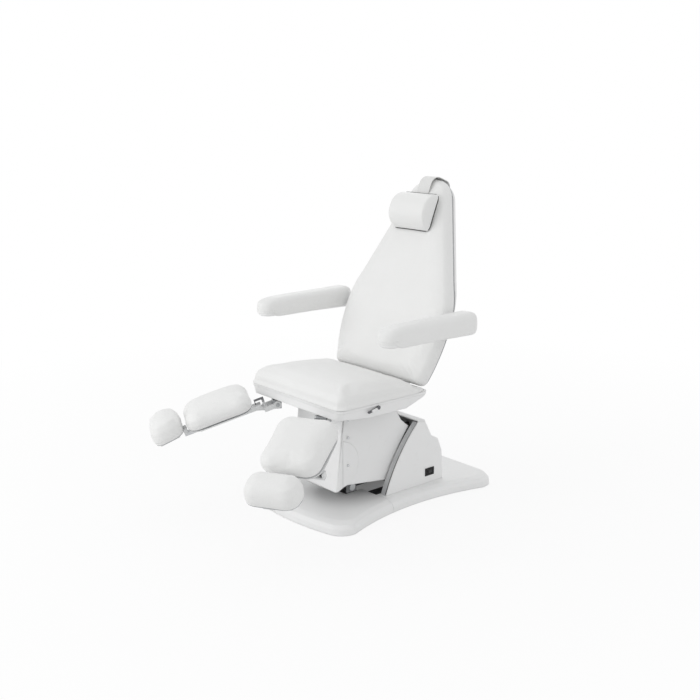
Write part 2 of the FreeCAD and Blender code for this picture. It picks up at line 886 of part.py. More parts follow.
def make_trims():
    """Grey strips that close the front edges of the wings."""
    for name, side in SIDES.items():
        body = new_body("Trim" + name)
        inner = "housing_half - housing_wall - trim_width"
        start = inner if side > 0 else "housing_wall - housing_half"
        sketch = new_sketch(body, "TrimProfile" + name, "YZ_Plane", start)
        outline(sketch, (
            ("housing_front", "plinth_height", "housing_front_radius", -1),
            ("housing_top_front - trim_thickness", "housing_top_z - 2 * housing_wall"),
            ("housing_top_front", "housing_top_z - 2 * housing_wall", "housing_front_radius", 1),
            ("housing_front + trim_thickness", "plinth_height")))
        extrude(body, "Pad", sketch, "trim_width")
        node(body, "housing_trim_" + name)


def make_panel():
    """Inlet panel on the left wing with its rocker switch."""
    plate = box(
        "PanelPlate", "housing_half", "panel_y - panel_width / 2", "panel_z - panel_height / 2",
        "panel_thickness", "panel_width", "panel_height")
    hole = box(
        "PanelHole", "housing_half - overrun", "panel_y - rocker_width / 2 - rocker_gap",
        "panel_z - rocker_height / 2 - rocker_gap", "panel_thickness + 2 * overrun",
        "rocker_width + 2 * rocker_gap", "rocker_height + 2 * rocker_gap")
    node(cut("Panel", plate, hole), "switch_panel")
    rocker = rod(
        "Rocker", "housing_half + panel_thickness - rocker_depth / 3", "panel_y - rocker_width / 2",
        "panel_z", "rocker_height / 2", "rocker_width", ALONG_Y)
    node(rocker, "rocker_switch")


def make_control_box():
    """Electronics box hung between the rails by its lip."""
    window_middle = "( frame_cross_y + frame_cross_width / 2 + frame_length / 2 - frame_end_width ) / 2"
    base = f"{window_middle} - box_length / 2"
    case = box(
        "BoxCase", "0 - box_width / 2", base, "frame_height - box_depth",
        "box_width", "box_length", "box_depth")
    lip = box(
        "BoxLip", "0 - box_width / 2 - box_lip", base, "frame_height",
        "box_width + 2 * box_lip", "box_length", "box_lip_thickness")
    node(fuse("ControlBox", case, lip), "control_box")


# Lift


def link(name, start, thickness, half_height):
    """Flat bar from its pivot to the front pivot, round at both ends and bored there."""
    bar = box(name + "Bar", start, "0 - link_length", f"0 - {half_height}",
              thickness, "link_length", f"2 * {half_height}")
    near = rod(name + "Near", start, "0", "0", half_height, thickness)
    far = rod(name + "Far", start, "0 - link_length", "0", half_height, thickness)
    bore = "pivot_radius + running_gap"
    first = rod(name + "NearBore", f"{start} - overrun", "0", "0", bore, f"{thickness} + 2 * overrun")
    second = rod(name + "FarBore", f"{start} - overrun", "0 - link_length", "0", bore,
                 f"{thickness} + 2 * overrun")
    return cut(name, fuse(name + "Blank", bar, near, far), first, second)


def make_links():
    """Main arm with its crank pin, and the stabiliser below it."""
    right = "0 - link_inner_x - link_thickness"
    bars = [
        link("MainLeft", "link_inner_x", "link_thickness", "link_half_height"),
        link("MainRight", right, "link_thickness", "link_half_height"),
    ]
    plate = box(
        "MainBridge", "0 - link_inner_x", "0 - bridge_far", "bridge_rise - bridge_thickness / 2",
        "2 * link_inner_x", "bridge_far - bridge_near", "bridge_thickness")
    pin = crossrod("CrankPin", "0 - crank_radius", "0", "crank_pin_radius", "link_inner_x")
    node(fuse("MainArm", *bars, plate, pin), "main_arm", LIFT)
    bars = [
        link("StabiliserLeft", "link_inner_x", "link_thickness", "stabiliser_half_height"),
        link("StabiliserRight", right, "link_thickness", "stabiliser_half_height"),
    ]
    tie = crossrod("StabiliserTie", "0 - stabiliser_tie", "0", "cross_tube_radius", "link_inner_x")
    node(fuse("Stabiliser", *bars, tie), "stabiliser_arm", STABILISER)


def make_actuator(label, prefix, foot, head, pin_radius, head_pin_radius, half_width):
    """Electric actuator from its foot pin to its head pin: motor tube and rod along local Z."""
    way = head - foot
    place = Placement(foot, Rotation(Vector(0, 0, 1), way))
    reach = way.Length
    tube_radius = f"{prefix}_tube_radius"
    rod_radius = f"{prefix}_rod_radius"
    length = f"{prefix}_tube_length"
    eye = f"{pin_radius} + running_gap"
    knuckle = crossrod(label + "Knuckle", "0", "0", f"{pin_radius} + cross_tube_radius / 2", half_width)
    tube = rod(label + "Tube", "0", "0", f"{pin_radius} + cross_tube_radius / 2", tube_radius,
               f"{length} - {pin_radius} - cross_tube_radius / 2", Rotation())
    neck = box(label + "Neck", f"0 - ( {half_width} )", f"0 - {pin_radius}", "0",
               f"2 * ( {half_width} )", f"2 * {pin_radius}", f"{pin_radius} + cross_tube_radius")
    foot_bore = crossrod(label + "FootBore", "0", "0", eye, f"{half_width} + overrun")
    rod_bore = rod(label + "RodBore", "0", "0", f"{pin_radius} + cross_tube_radius + overrun",
                   f"{rod_radius} + running_gap", length, Rotation())
    blank = fuse(label + "Blank", knuckle, tube, neck)
    node(cut(label + "Body", blank, foot_bore, rod_bore), label + "_body", place)
    eye_radius = f"{head_pin_radius} + {prefix}_eye_gap"
    outer = size(f"{eye_radius} + cross_tube_radius / 2")
    inner = size(eye_radius)
    half = size(half_width)
    start = size(f"{pin_radius} + cross_tube_radius + overrun + {prefix}_retract") + S["side_gap"]
    shank = Part.makeCylinder(size(rod_radius), reach - start, Vector(0, 0, start))
    ring = Part.makeCylinder(outer, 2 * half, Vector(-half, 0, reach), Vector(1, 0, 0))
    hole = Part.makeCylinder(inner, 4 * half, Vector(-2 * half, 0, reach), Vector(1, 0, 0))
    node(solid(label + "Rod", shank.fuse(ring).cut(hole)), label + "_rod", place)


def make_actuators():
    head = LIFT.multVec(Vector(0, -S["crank_radius"], 0))
    foot = Vector(0, S["lift_motor_y"], S["lift_motor_z"])
    width = "lift_bracket_x - 2 * side_gap"
    make_actuator("lift_actuator", "lift", foot, head, "crank_pin_radius", "crank_pin_radius", width)
    foot = Vector(0, S["cross_tube_y"], S["cross_tube_z"])
    head = Vector(0, S["cross_tube_y"], S["tilt_reach_z"])
    make_actuator("tilt_actuator", "tilt", foot, head, "cross_tube_radius",
                  "tilt_eye_pin_radius", "tilt_eye_half")
    foot = Vector(0, S["back_motor_y"], S["back_motor_z"])
    make_actuator("back_actuator", "back", foot, back_crank_point(), "back_crank_pin_radius",
                  "back_crank_pin_radius", "back_crank_x - 2 * side_gap")


def back_crank_point():
    """Place of the crank pin below the back pivot."""
    angle = math.radians(S["back_crank_angle"])
    reach = S["back_crank"]
    return BACK_PIVOT + Vector(0, reach * math.sin(angle), -reach * math.cos(angle))


# Seat carrier


def screw_places():
    """Y and Z of the three screws on each side of the carrier cover."""
    top = "( carrier_top_z - carrier_lower_z )"
    along = "carrier_front + 2 * spacer_radius"
    places = [(along, "carrier_top_z - 2 * spacer_radius - 2 * bulge_height")]
    for share in SCREW_HEIGHT_SHARES:
        places.append((along, f"carrier_lower_z + {top} * {share}"))
    return places


def make_carrier():
    """Side plates, cross tubes and spacers that carry the seat on the lift arms."""
    for name, side in SIDES.items():
        body = new_body("CarrierPlate" + name)
        inner = "column_plate_x" if side > 0 else "0 - column_plate_x - column_plate_thickness"
        sketch = new_sketch(body, "CarrierOutline" + name, "YZ_Plane", inner)
        outline(sketch, (
            ("carrier_neck_front", "carrier_foot"), ("carrier_neck_rear", "carrier_foot"),
            ("carrier_neck_rear", "carrier_waist_z"),
            ("carrier_neck_rear + carrier_top_z - carrier_shelf_z", "carrier_shelf_z"),
            ("carrier_rear", "carrier_shelf_z"), ("carrier_rear", "carrier_top_z"),
            ("carrier_front", "carrier_top_z"), ("carrier_front", "carrier_lower_z"),
            ("carrier_neck_front", "carrier_lower_z - carrier_top_z + carrier_shelf_z")))
        bore = "pivot_radius + running_gap"
        circle(sketch, front_y(), front_z(), bore)
        circle(sketch, front_y(), front_z() + " - link_spacing", bore)
        circle(sketch, "tilt_pivot_y", "tilt_pivot_z", "tilt_pin_radius + running_gap")
        extrude(body, "Pad", sketch, "column_plate_thickness")
        outer = "column_plate_x + column_plate_thickness"
        face = outer if side > 0 else f"0 - ( {outer} )"
        spacers = new_sketch(body, "Spacers" + name, "YZ_Plane", face)
        for y, z in screw_places():
            circle(spacers, y, z, "spacer_radius")
        reach = f"cover_half - cover_wall - ( {outer} )"
        extrude(body, "Pad", spacers, reach, reverse=side < 0)
        node(body, "carrier_plate_" + name)
    lower = crossrod("LowerTube", "cross_tube_y", "cross_tube_z", "cross_tube_radius", "column_plate_x")
    upper = crossrod("UpperTube", "upper_tube_y", "upper_tube_z", "cross_tube_radius", "column_plate_x")
    node(pair("CarrierTubes", lower, upper), "carrier_tubes")


def make_carrier_cover():
    """Moulded cover with a front wall and two flat sides that slide between the wings."""
    body = new_body("CarrierCover")
    profile = new_sketch(body, "CoverProfile", "YZ_Plane")
    outline(profile, (
        ("cover_tip_y", "cover_tip_z"), ("cover_lip_y", "cover_lip_z"),
        ("cover_heel_y", "cover_heel_z", "cover_rear_radius", -1),
        ("cover_shoulder_y", "cover_shoulder_z"), ("cover_neck_y", "cover_neck_z"),
        ("cover_top_rear", "cover_top_z"), ("cover_top_front", "cover_top_z")))
    block_pad = extrude(body, "Pad", profile, "2 * cover_half", symmetric=True)
    front = S["cover_top_front"]

    def front_edge(edge):
        box_of = edge.BoundBox
        tall = box_of.ZLength > (S["cover_top_z"] - S["cover_tip_z"]) / 2
        return tall and box_of.XLength < S["running_gap"] and box_of.YMax < front + S["side_gap"]
    round_edges(body, block_pad, "cover_round", front_edge)
    hollow = new_sketch(body, "CoverHollow", "YZ_Plane")
    rear = "cover_shoulder_y + overrun"
    outline(hollow, (
        ("cover_tip_y + cover_wall", "cover_heel_z - overrun"), (rear, "cover_heel_z - overrun"),
        (rear, "cover_top_z + overrun"), ("cover_top_front + cover_wall", "cover_top_z + overrun")))
    hollowed = extrude(body, "Pocket", hollow, "2 * ( cover_half - cover_wall )", symmetric=True)
    holes = new_sketch(body, "CoverHoles", "YZ_Plane")
    for y, z in screw_places():
        circle(holes, y, z, "screw_radius + side_gap")
    extrude(body, "Pocket", holes, "2 * cover_half + 2 * overrun", symmetric=True)
    doc.recompute()
    shape = body.Shape.copy()
    half = S["cover_half"]
    high = S["bulge_height"]
    disc_place = Vector(-half - high, S["bulge_y"], S["bulge_z"])
    disc = Part.makeCylinder(S["bulge_radius"], 2 * (half + high), disc_place, Vector(1, 0, 0))
    over = S["overrun"]
    round_in = S["cover_round"] + high
    ahead = S["bulge_y"] - S["bulge_radius"]
    rise = S["bulge_z"] + S["bulge_radius"]
    keep = block(-half - over, S["cover_tip_y"] + round_in * 2, 0, half + over, 0, rise)
    core = block(-half + high, ahead, 0, half - high, 0, rise)
    bulge = disc.common(keep).cut(core)
    hollowed.Visibility = False
    cover = shape.fuse(bulge).removeSplitter()
    for y, z in screw_places():
        spot = Vector(-half - over, size(y), size(z))
        cover = cover.cut(Part.makeCylinder(
            size("screw_radius + side_gap"), 2 * (half + over), spot, Vector(1, 0, 0)))
    node(solid("CarrierCoverMoulding", cover), "carrier_cover")


def make_screws():
    """Six pan-head screws that hold the carrier cover to its spacers."""
    screws = []
    stem = S["cover_wall"] + S["bulge_height"] + S["running_gap"]
    for side in SIDES.values():
        start = side * (S["cover_half"] - S["cover_wall"] + S["running_gap"])
        way = Vector(side, 0, 0)
        for y, z in screw_places():
            foot = Vector(start, size(y), size(z))
            shank = Part.makeCylinder(S["screw_radius"], stem, foot, way)
            head = Part.makeCylinder(S["screw_head_radius"], S["screw_head"], foot + way * stem, way)
            screws.append(shank.fuse(head))
    node(solid("CoverScrews", Part.makeCompound(screws)), "carrier_cover_screws")


# Seat


def make_seat_frame():
    """Tube ladder under the pan with hub bosses, tilt lugs, back ears and actuator lugs."""
    low = "seat_frame_top - seat_tube_height"
    outer = "( seat_rail_x + seat_rail_width )"
    along = "seat_frame_rear - seat_frame_front"
    pieces = [
        box("SeatRailLeft", "seat_rail_x", "seat_frame_front", low, "seat_rail_width", along,
            "seat_tube_height"),
        box("SeatRailRight", f"0 - {outer}", "seat_frame_front", low, "seat_rail_width", along,
            "seat_tube_height"),
    ]
    for name, near, far in (
        ("Front", "seat_frame_front", "seat_frame_front + seat_cross_width"),
        ("Middle", "mid_cross_front", "mid_cross_rear"),
        ("Motor", "rear_bar_front", "rear_bar_rear"),
        ("Rear", "seat_frame_rear - seat_cross_width", "seat_frame_rear"),
    ):
        pieces.append(box("SeatCross" + name, f"0 - {outer}", near, low, f"2 * {outer}",
                          f"{far} - ( {near} )", "seat_tube_height"))
    tools = []
    for name, side in SIDES.items():
        sign = "" if side > 0 else "0 - "
        pieces.append(rod("HubBoss" + name, f"{sign}hub_x", "hub_y", "hub_boss_bottom",
                          "hub_boss_radius", "hub_boss_top - hub_boss_bottom", Rotation()))
        tools.append(rod("HubBore" + name, f"{sign}hub_x", "hub_y", "hub_boss_bottom - overrun",
                         "hub_pin_radius + running_gap",
                         "hub_boss_top - hub_boss_bottom + 2 * overrun", Rotation()))
        start = "tilt_lug_x" if side > 0 else "0 - tilt_lug_x - tilt_lug_thickness"
        pieces.append(box("TiltLug" + name, start, "tilt_pivot_y - tilt_lug_half",
                          "tilt_pivot_z - tilt_lug_half", "tilt_lug_thickness", "2 * tilt_lug_half",
                          f"{low} - tilt_pivot_z + tilt_lug_half"))
        start = "back_ear_x" if side > 0 else "0 - back_ear_x - back_ear_thickness"
        pivot_y = back_pivot_y()
        pivot_z = back_pivot_z()
        pieces.append(box("BackEar" + name, start, "seat_frame_rear", f"{pivot_z} - back_ear_radius",
                          "back_ear_thickness", f"{pivot_y} - seat_frame_rear",
                          "2 * back_ear_radius"))
        pieces.append(rod("BackEarEnd" + name, start, pivot_y, pivot_z, "back_ear_radius",
                          "back_ear_thickness"))
        tools.append(rod("BackBore" + name, f"{start} - overrun", pivot_y, pivot_z,
                         "back_pin_radius + running_gap", "back_ear_thickness + 2 * overrun"))
        for part, y, z, half, radius in (
            ("TiltEye", "cross_tube_y", "tilt_reach_z", "tilt_eye_half", "tilt_eye_pin_radius"),
            ("Motor", "back_motor_y", "back_motor_z", "back_crank_x", "back_crank_pin_radius"),
        ):
            cheek = "lift_bracket_thickness"
            start = f"{half} + side_gap" if side > 0 else f"0 - {half} - side_gap - {cheek}"
            pieces.append(box(part + "Lug" + name, start, f"{y} - 2 * {radius}", z, cheek,
                              f"4 * {radius}", f"{low} - {z}"))
            pieces.append(rod(part + "LugEnd" + name, start, y, z, f"2 * {radius}", cheek))
    tools.append(crossrod("TiltBore", "tilt_pivot_y", "tilt_pivot_z", "tilt_pin_radius + running_gap",
                          "tilt_lug_x + 2 * overrun + tilt_lug_thickness"))
    frame = cut("SeatFrameBored", fuse("SeatFrameBlank", *pieces), *tools)
    half = "side_gap + lift_bracket_thickness"
    eye = crossrod("TiltEyePin", "cross_tube_y", "tilt_reach_z", "tilt_eye_pin_radius",
                   f"tilt_eye_half + {half}")
    motor = crossrod("MotorPin", "back_motor_y", "back_motor_z", "back_crank_pin_radius",
                     f"back_crank_x + {half}")
    socket = rod("LeverSocket", f"{outer} - 2 * lever_boss_radius", "lever_y", "lever_z",
                 "lever_shaft_radius + running_gap", "4 * lever_boss_radius")
    node(cut("SeatFrame", fuse("SeatFrameFull", frame, eye, motor), socket), "seat_frame")
    pin = headed_pin("TiltPin", "tilt_pivot_y", "tilt_pivot_z", "tilt_pin_radius",
                     "tilt_lug_x + tilt_lug_thickness + side_gap", "pivot_head_radius", "pivot_head")
    node(pin, "tilt_pin")


def back_pivot_y():
    return ("( back_y + back_pivot_depth * cos( back_angle * 1deg )"
            " - back_pivot_drop * sin( back_angle * 1deg ) )")


def back_pivot_z():
    return ("( back_z - back_pivot_depth * sin( back_angle * 1deg )"
            " - back_pivot_drop * cos( back_angle * 1deg ) )")


def make_seat_pan():
    """Moulded pan under the seat cushion: rim, drawn-in sides and a belly that rakes up behind."""
    half = S["seat_half"]
    front = S["seat_front"]
    rear = S["seat_rear"]
    corner = S["pan_round"]
    top = S["pan_top"]
    wall = S["pan_wall"]
    draft = S["pan_draft"]
    over = S["overrun"]
    rim = top - S["pan_flange"]

    def tub(inset, floor, ceiling):
        upper = rounded_rectangle(half - inset, front + inset, rear - inset, corner - inset)
        lower = rounded_rectangle(half - inset - draft, front + inset, rear - inset - wall, corner - inset)
        upper.translate(Vector(0, 0, ceiling))
        lower.translate(Vector(0, 0, floor))
        return Part.makeLoft([lower, upper], True, True)
    flange = Part.Face(rounded_rectangle(half, front, rear, corner))
    flange.translate(Vector(0, 0, rim))
    outer = flange.extrude(Vector(0, 0, top - rim)).fuse(tub(wall / 2, S["pan_belly"] - over, rim))
    inner = tub(wall / 2 + wall, S["pan_belly"] - over - wall, top - wall)
    low = S["pan_belly"] - 2 * over - wall
    edge = [
        Vector(0, front - over, low), Vector(0, rear + over, low),
        Vector(0, rear + over, S["pan_rear_edge"]), Vector(0, rear - wall, S["pan_rear_edge"]),
        Vector(0, S["pan_belly_rear"], S["pan_belly"]),
        Vector(0, S["pan_belly_front"], S["pan_belly"]),
        Vector(0, front + corner, S["pan_front_edge"]),
        Vector(0, front - over, S["pan_front_edge"]), Vector(0, front - over, low)]
    under = Part.Face(Part.makePolygon(edge)).extrude(Vector(2 * (half + over), 0, 0))
    under.translate(Vector(-half - over, 0, 0))
    shape = outer.cut(inner).cut(under)
    pivot = BACK_PIVOT
    for side in SIDES.values():
        near = side * (S["back_bar_x"] - over / 2)
        far = side * (S["back_ear_x"] + S["back_ear_thickness"] + over / 2)
        shape = shape.cut(block(
            min(near, far), S["seat_frame_rear"], low, max(near, far), rear + over,
            pivot.z + S["back_ear_radius"] + S["side_gap"]))
    shaft = Part.makeCylinder(
        S["lever_shaft_radius"] + S["side_gap"], S["pan_draft"] * 2,
        Vector(half - S["pan_draft"] * 2 + over, S["lever_y"], S["lever_z"]), Vector(1, 0, 0))
    node(solid("SeatPan", shape.cut(shaft).removeSplitter()), "seat_pan")


def make_seat_cushion():
    pad = cushion(
        "SeatCushion", S["seat_half"] - S["side_gap"], S["seat_front"], S["seat_cushion_rear"],
        S["seat_cushion_corner"], S["seat_cushion_height"], S["seat_cushion_round"],
        S["pan_top"] + S["cushion_gap"], S["seat_cushion_angle"])
    node(pad, "seat_cushion")


def make_back_pins():
    """Hinge pins between the ears of the seat frame and the bars of the back."""
    pins = []
    for side in SIDES.values():
        start = S["back_bar_x"] + S["side_gap"]
        length = S["back_pin_out"] - start
        place = Vector(side * start, BACK_PIVOT.y, BACK_PIVOT.z)
        pins.append(Part.makeCylinder(S["back_pin_radius"], length, place, Vector(side, 0, 0)))
    node(solid("BackPins", Part.makeCompound(pins)), "back_hinge_pins")


def make_seat_lever():
    """Small lever at the left rim of the pan; its shaft turns in the seat rail."""
    inner = S["seat_rail_x"] + S["seat_rail_width"] - S["lever_boss_radius"]
    outer = S["seat_half"] + S["side_gap"]
    way = Vector(1, 0, 0)
    shaft = Part.makeCylinder(S["lever_shaft_radius"], outer - inner, Vector(inner, 0, 0), way)
    boss = Part.makeCylinder(S["lever_boss_radius"], S["lever_thickness"], Vector(outer, 0, 0), way)
    wide = S["lever_width"] / 2
    grip = block(outer, -S["lever_length"], -wide, outer + S["lever_thickness"], 0, wide)
    tip = Part.makeCylinder(
        wide, S["lever_thickness"], Vector(outer, -S["lever_length"], 0), way)
    lean = Rotation(way, S["lever_angle"])
    lever = shaft.fuse(boss).fuse(grip).fuse(tip).removeSplitter()
    node(solid("SeatLever", lever), "seat_side_lever", Placement(Vector(0, S["lever_y"], S["lever_z"]), lean))


# Back, with its own frame: X across, Y towards the rear and Z up along the cushion


def back_outline(inset, taper=0):
    """Tapered outline of the back, as a wire in x and y with y up along the back."""
    bottom = S["back_bottom"] + inset
    corner = S["back_corner"]
    foot = S["back_bottom_half"] - inset - taper
    hip = Vector(S["back_hip_half"] - inset - taper, S["back_hip"], 0)
    waist = Vector(S["back_waist_half"] - inset, S["back_waist"], 0)
    neck_out, neck_up = BACK_NECK_SHARES
    neck = Vector(S["back_neck_half"] - inset * neck_out, S["back_neck"] - inset * neck_up, 0)
    top = Vector(0, S["back_top"] - inset, 0)
    side_out, bend_in, bend_up = BACK_CORNER_SHARES
    side = Vector(foot + corner * side_out, bottom + corner, 0)
    start = Vector(foot - corner, bottom, 0)
    bend = Vector(foot - corner * bend_in, bottom + corner * bend_up, 0)
    low_bulge = bulge_point(side, hip, S["back_side_radius"])
    high_bulge = bulge_point(hip, waist, S["back_shoulder_radius"])

    def across(point):
        return Vector(-point.x, point.y, 0)
    return path([
        across(start), start, (bend, side), (low_bulge, hip), (high_bulge, waist), neck,
        (top, across(neck)), across(waist), (across(high_bulge), across(hip)),
        (across(low_bulge), across(side)), (across(bend), across(start))])


def bulge_point(start, end, radius):
    """Middle of an arc of this radius that bulges towards +x."""
    chord = end - start
    depth = radius - math.sqrt(radius ** 2 - (chord.Length / 2) ** 2)
    return (start + end) / 2 + Vector(chord.y, -chord.x, 0).normalize() * depth


def back_piece(shape):
    """Turn a form built on x and y into the frame of the back, its top towards the front."""
    shape.rotate(Vector(), Vector(1, 0, 0), 90)
    return shape


def make_back_cushion():
    depth = S["back_cushion_depth"] + S["back_cushion_crown"]
    shape = stack(back_outline, CUSHION_LEVEL_SHARES, depth, S["back_cushion_round"],
                  -S["back_cushion_depth"])
    upright = Placement(Vector(), Rotation(Vector(1, 0, 0), 90))
    node(solid("BackCushion", shape), "back_cushion", BACK.multiply(upright))


def make_back_shell():
    """Rigid shell behind the back cushion, open towards it, with holes for bars and arm tube."""
    start = S["back_shell_start"]
    end = S["back_shell_end"]
    wall = S["back_shell_wall"]
    inset = S["back_shell_inset"]
    draft = S["back_shell_draft"]
    over = S["overrun"]

    def level(shift, depth):
        share = (depth - start) / (end - start)
        wire = back_outline(inset + shift, S["back_shell_taper"] * share)
        wire.translate(Vector(0, 0, -depth))
        return wire
    middle = (start + end) / 2
    half_way = draft * SHELL_MIDDLE_SHARE
    outer = Part.makeLoft([level(draft, end), level(half_way, middle), level(0, start)], True, True)
    inner = Part.makeLoft([
        level(wall + draft, end - wall), level(wall + half_way, middle), level(wall, start)], True, True)
    mouth = Part.Face(level(wall, start)).extrude(Vector(0, 0, over))
    shape = back_piece(outer.cut(inner.fuse(mouth)))
    tube = Part.makeCylinder(
        S["arm_tube_radius"] + S["side_gap"], 2 * S["back_hip_half"] + 2 * over,
        Vector(-S["back_hip_half"] - over, S["arm_pivot_depth"], S["arm_pivot_rise"]), Vector(1, 0, 0))
    shape = shape.cut(tube)
    bottom = S["back_bottom"]
    for side in SIDES.values():
        x = side * (S["back_bar_x"] + S["back_bar_thickness"] / 2)
        wide = S["back_bar_thickness"] / 2 + S["side_gap"]
        shape = shape.cut(block(
            x - wide, start - over, bottom - over, x + wide,
            S["back_cushion_depth"] + S["back_bar_depth"] + S["side_gap"], bottom + inset + draft + over))
    node(solid("BackShell", shape), "back_shell", BACK)


def make_back_frame():
    """Two flat bars with a torque tube, a crank, the armrest tube and a top tie."""
    depth = "back_cushion_depth + cushion_gap"
    pieces = []
    bores = []
    for name, side in SIDES.items():
        start = "back_bar_x" if side > 0 else "0 - back_bar_x - back_bar_thickness"
        pieces.append(box("BackBar" + name, start, depth, "0 - back_pivot_drop",
                          "back_bar_thickness", "back_bar_depth", "back_bar_top + back_pivot_drop"))
        pieces.append(rod("BackBarEnd" + name, start, "back_pivot_depth", "0 - back_pivot_drop",
                          "back_ear_radius", "back_bar_thickness"))
        bores.append(rod("BackBarBore" + name, f"{start} - overrun / 3", "back_pivot_depth",
                         "0 - back_pivot_drop", "back_pin_radius + running_gap",
                         "back_bar_thickness + 2 * overrun / 3"))
    torque = crossrod("TorqueTube", "back_pivot_depth", "0 - back_pivot_drop", "torque_tube_radius",
                      "back_bar_x")
    pieces.append(torque)
    tie = "back_bar_depth / 2"
    pieces.append(box("BackTie", "0 - back_bar_x", depth, "back_bar_top - back_bar_depth",
                      "2 * back_bar_x", tie, "back_bar_depth"))
    pieces.append(crossrod("ArmTube", "arm_pivot_depth", "arm_pivot_rise", "arm_tube_radius",
                           "arm_tube_half"))
    turn = "( back_crank_angle + back_angle )"
    crank_y = f"back_pivot_depth + back_crank * sin( {turn} * 1deg )"
    crank_z = f"0 - back_pivot_drop - back_crank * cos( {turn} * 1deg )"
    for name, side in SIDES.items():
        start = "back_crank_x" if side > 0 else "0 - back_crank_x - back_crank_thickness"
        cheek = box(
            "CrankCheek" + name, start, f"back_pivot_depth + back_crank_half * cos( {turn} * 1deg )",
            f"0 - back_pivot_drop + back_crank_half * sin( {turn} * 1deg )",
            "back_crank_thickness", "2 * back_crank_half", "back_crank")
        cheek.Placement.Rotation = Rotation(Vector(1, 0, 0), 180 + size(turn))
        pieces.append(cheek)
        pieces.append(rod("CrankEnd" + name, start, crank_y, crank_z, "back_crank_half",
                          "back_crank_thickness"))
    pin = crossrod("BackCrankPin", crank_y, crank_z, "back_crank_pin_radius",
                   "back_crank_x + back_crank_thickness")
    blank = fuse("BackFrameBlank", *pieces, pin)
    node(cut("BackFrame", blank, *bores), "back_frame", BACK)


def make_head():
    """Half-round head cushion that slides on a strap looped over the top of the back."""
    rear = -S["back_cushion_crown"] - S["strap_thickness"] - 2 * S["cushion_gap"]
    middle = (S["head_top"] + S["head_bottom"]) / 2
    half = (S["head_top"] - S["head_bottom"]) / 2
    depth = S["head_depth"]
    sections = []
    for across_share, inset_share in HEAD_END_SHARES:
        inset = S["head_round"] * inset_share
        reach = half - inset
        crown = depth - inset
        lean = math.sqrt(0.5)
        cheek = rear - crown * (1 - lean * HEAD_BOW_SHARE)
        nose = Vector(0, rear - crown, middle)
        wire = path([
            Vector(0, rear, middle - reach),
            (Vector(0, cheek, middle - reach * lean), nose),
            (Vector(0, cheek, middle + reach * lean), Vector(0, rear, middle + reach))])
        wire.translate(Vector(S["head_half"] * across_share, 0, 0))
        sections.append(wire)
    node(solid("HeadCushion", Part.makeLoft(sections, True, True)), "head_cushion", BACK)
    body = new_body("HeadStrap")
    sketch = new_sketch(body, "StrapProfile", "YZ_Plane")
    front = "0 - back_cushion_crown - cushion_gap"
    rear = "back_shell_end + cushion_gap"
    top = "back_top + strap_slack"
    near = "strap_front_radius"
    far = "strap_rear_radius"
    thick = "strap_thickness"
    outline(sketch, (
        (front, "strap_bottom"), (front, f"{top} - {near}", near, -1),
        (f"{front} + {near}", top), (f"{rear} - {far}", top, far, -1),
        (rear, f"{top} - {far}"), (rear, "strap_tail"), (f"{rear} + {thick}", "strap_tail"),
        (f"{rear} + {thick}", f"{top} - {far}", f"{far} + {thick}", 1),
        (f"{rear} - {far}", f"{top} + {thick}"),
        (f"{front} + {near}", f"{top} + {thick}", f"{near} + {thick}", 1),
        (f"{front} - {thick}", f"{top} - {near}"), (f"{front} - {thick}", "strap_bottom")))
    extrude(body, "Pad", sketch, "strap_width", symmetric=True)
    node(body, "head_strap", BACK)


# Armrests


def shell_outline(inset):
    """Outline of an armrest shell about its own middle."""
    half = S["arm_width"] / 2 - inset
    corner = half - S["side_gap"]
    return rounded_rectangle(half, S["arm_front"] + inset, S["arm_rear"] - inset, corner)


def make_armrests():
    """Fold-up armrests: a moulded shell with a pad on it, and a collar at the back."""
    for name, side in SIDES.items():
        place = Placement(ARM_PIVOT, Rotation())
        centre = side * (S["arm_inner_x"] + S["arm_width"] / 2)
        shell = stack(shell_outline, MOULDED_LEVEL_SHARES, S["arm_bottom"] - S["arm_seam"],
                      S["arm_shell_round"], S["arm_seam"], S["arm_nose_angle"], S["arm_rear"])
        shell.translate(Vector(centre, 0, 0))
        inner = side * (S["arm_inner_x"] - S["overrun"])
        depth = S["arm_socket_depth"] + S["overrun"]
        socket = Part.makeCylinder(
            S["arm_tube_radius"] + S["running_gap"], depth, Vector(inner, 0, 0), Vector(side, 0, 0))
        node(solid("ArmShell" + name, shell.cut(socket)), "armrest_shell_" + name, place)
        pad = cushion(
            "ArmPad" + name, S["arm_width"] / 2, S["arm_front"], S["arm_rear"],
            S["arm_width"] / 2 - S["side_gap"], S["arm_pad_height"], S["arm_pad_round"],
            S["arm_seam"] + S["cushion_gap"])
        pad_place = Placement(ARM_PIVOT + Vector(centre, 0, 0), Rotation())
        node(pad, "armrest_pad_" + name, pad_place)
    collars = []
    for side in SIDES.values():
        start = side * (S["arm_inner_x"] - S["side_gap"] - S["arm_collar_width"])
        place = Vector(start, 0, 0)
        way = Vector(side, 0, 0)
        ring = Part.makeCylinder(S["arm_collar_radius"], S["arm_collar_width"], place, way)
        hole = Part.makeCylinder(S["arm_tube_radius"] + S["running_gap"], S["arm_collar_width"], place, way)
        collars.append(ring.cut(hole))
    node(solid("ArmCollars", Part.makeCompound(collars)), "armrest_collars", Placement(ARM_PIVOT, Rotation()))


# Leg rests


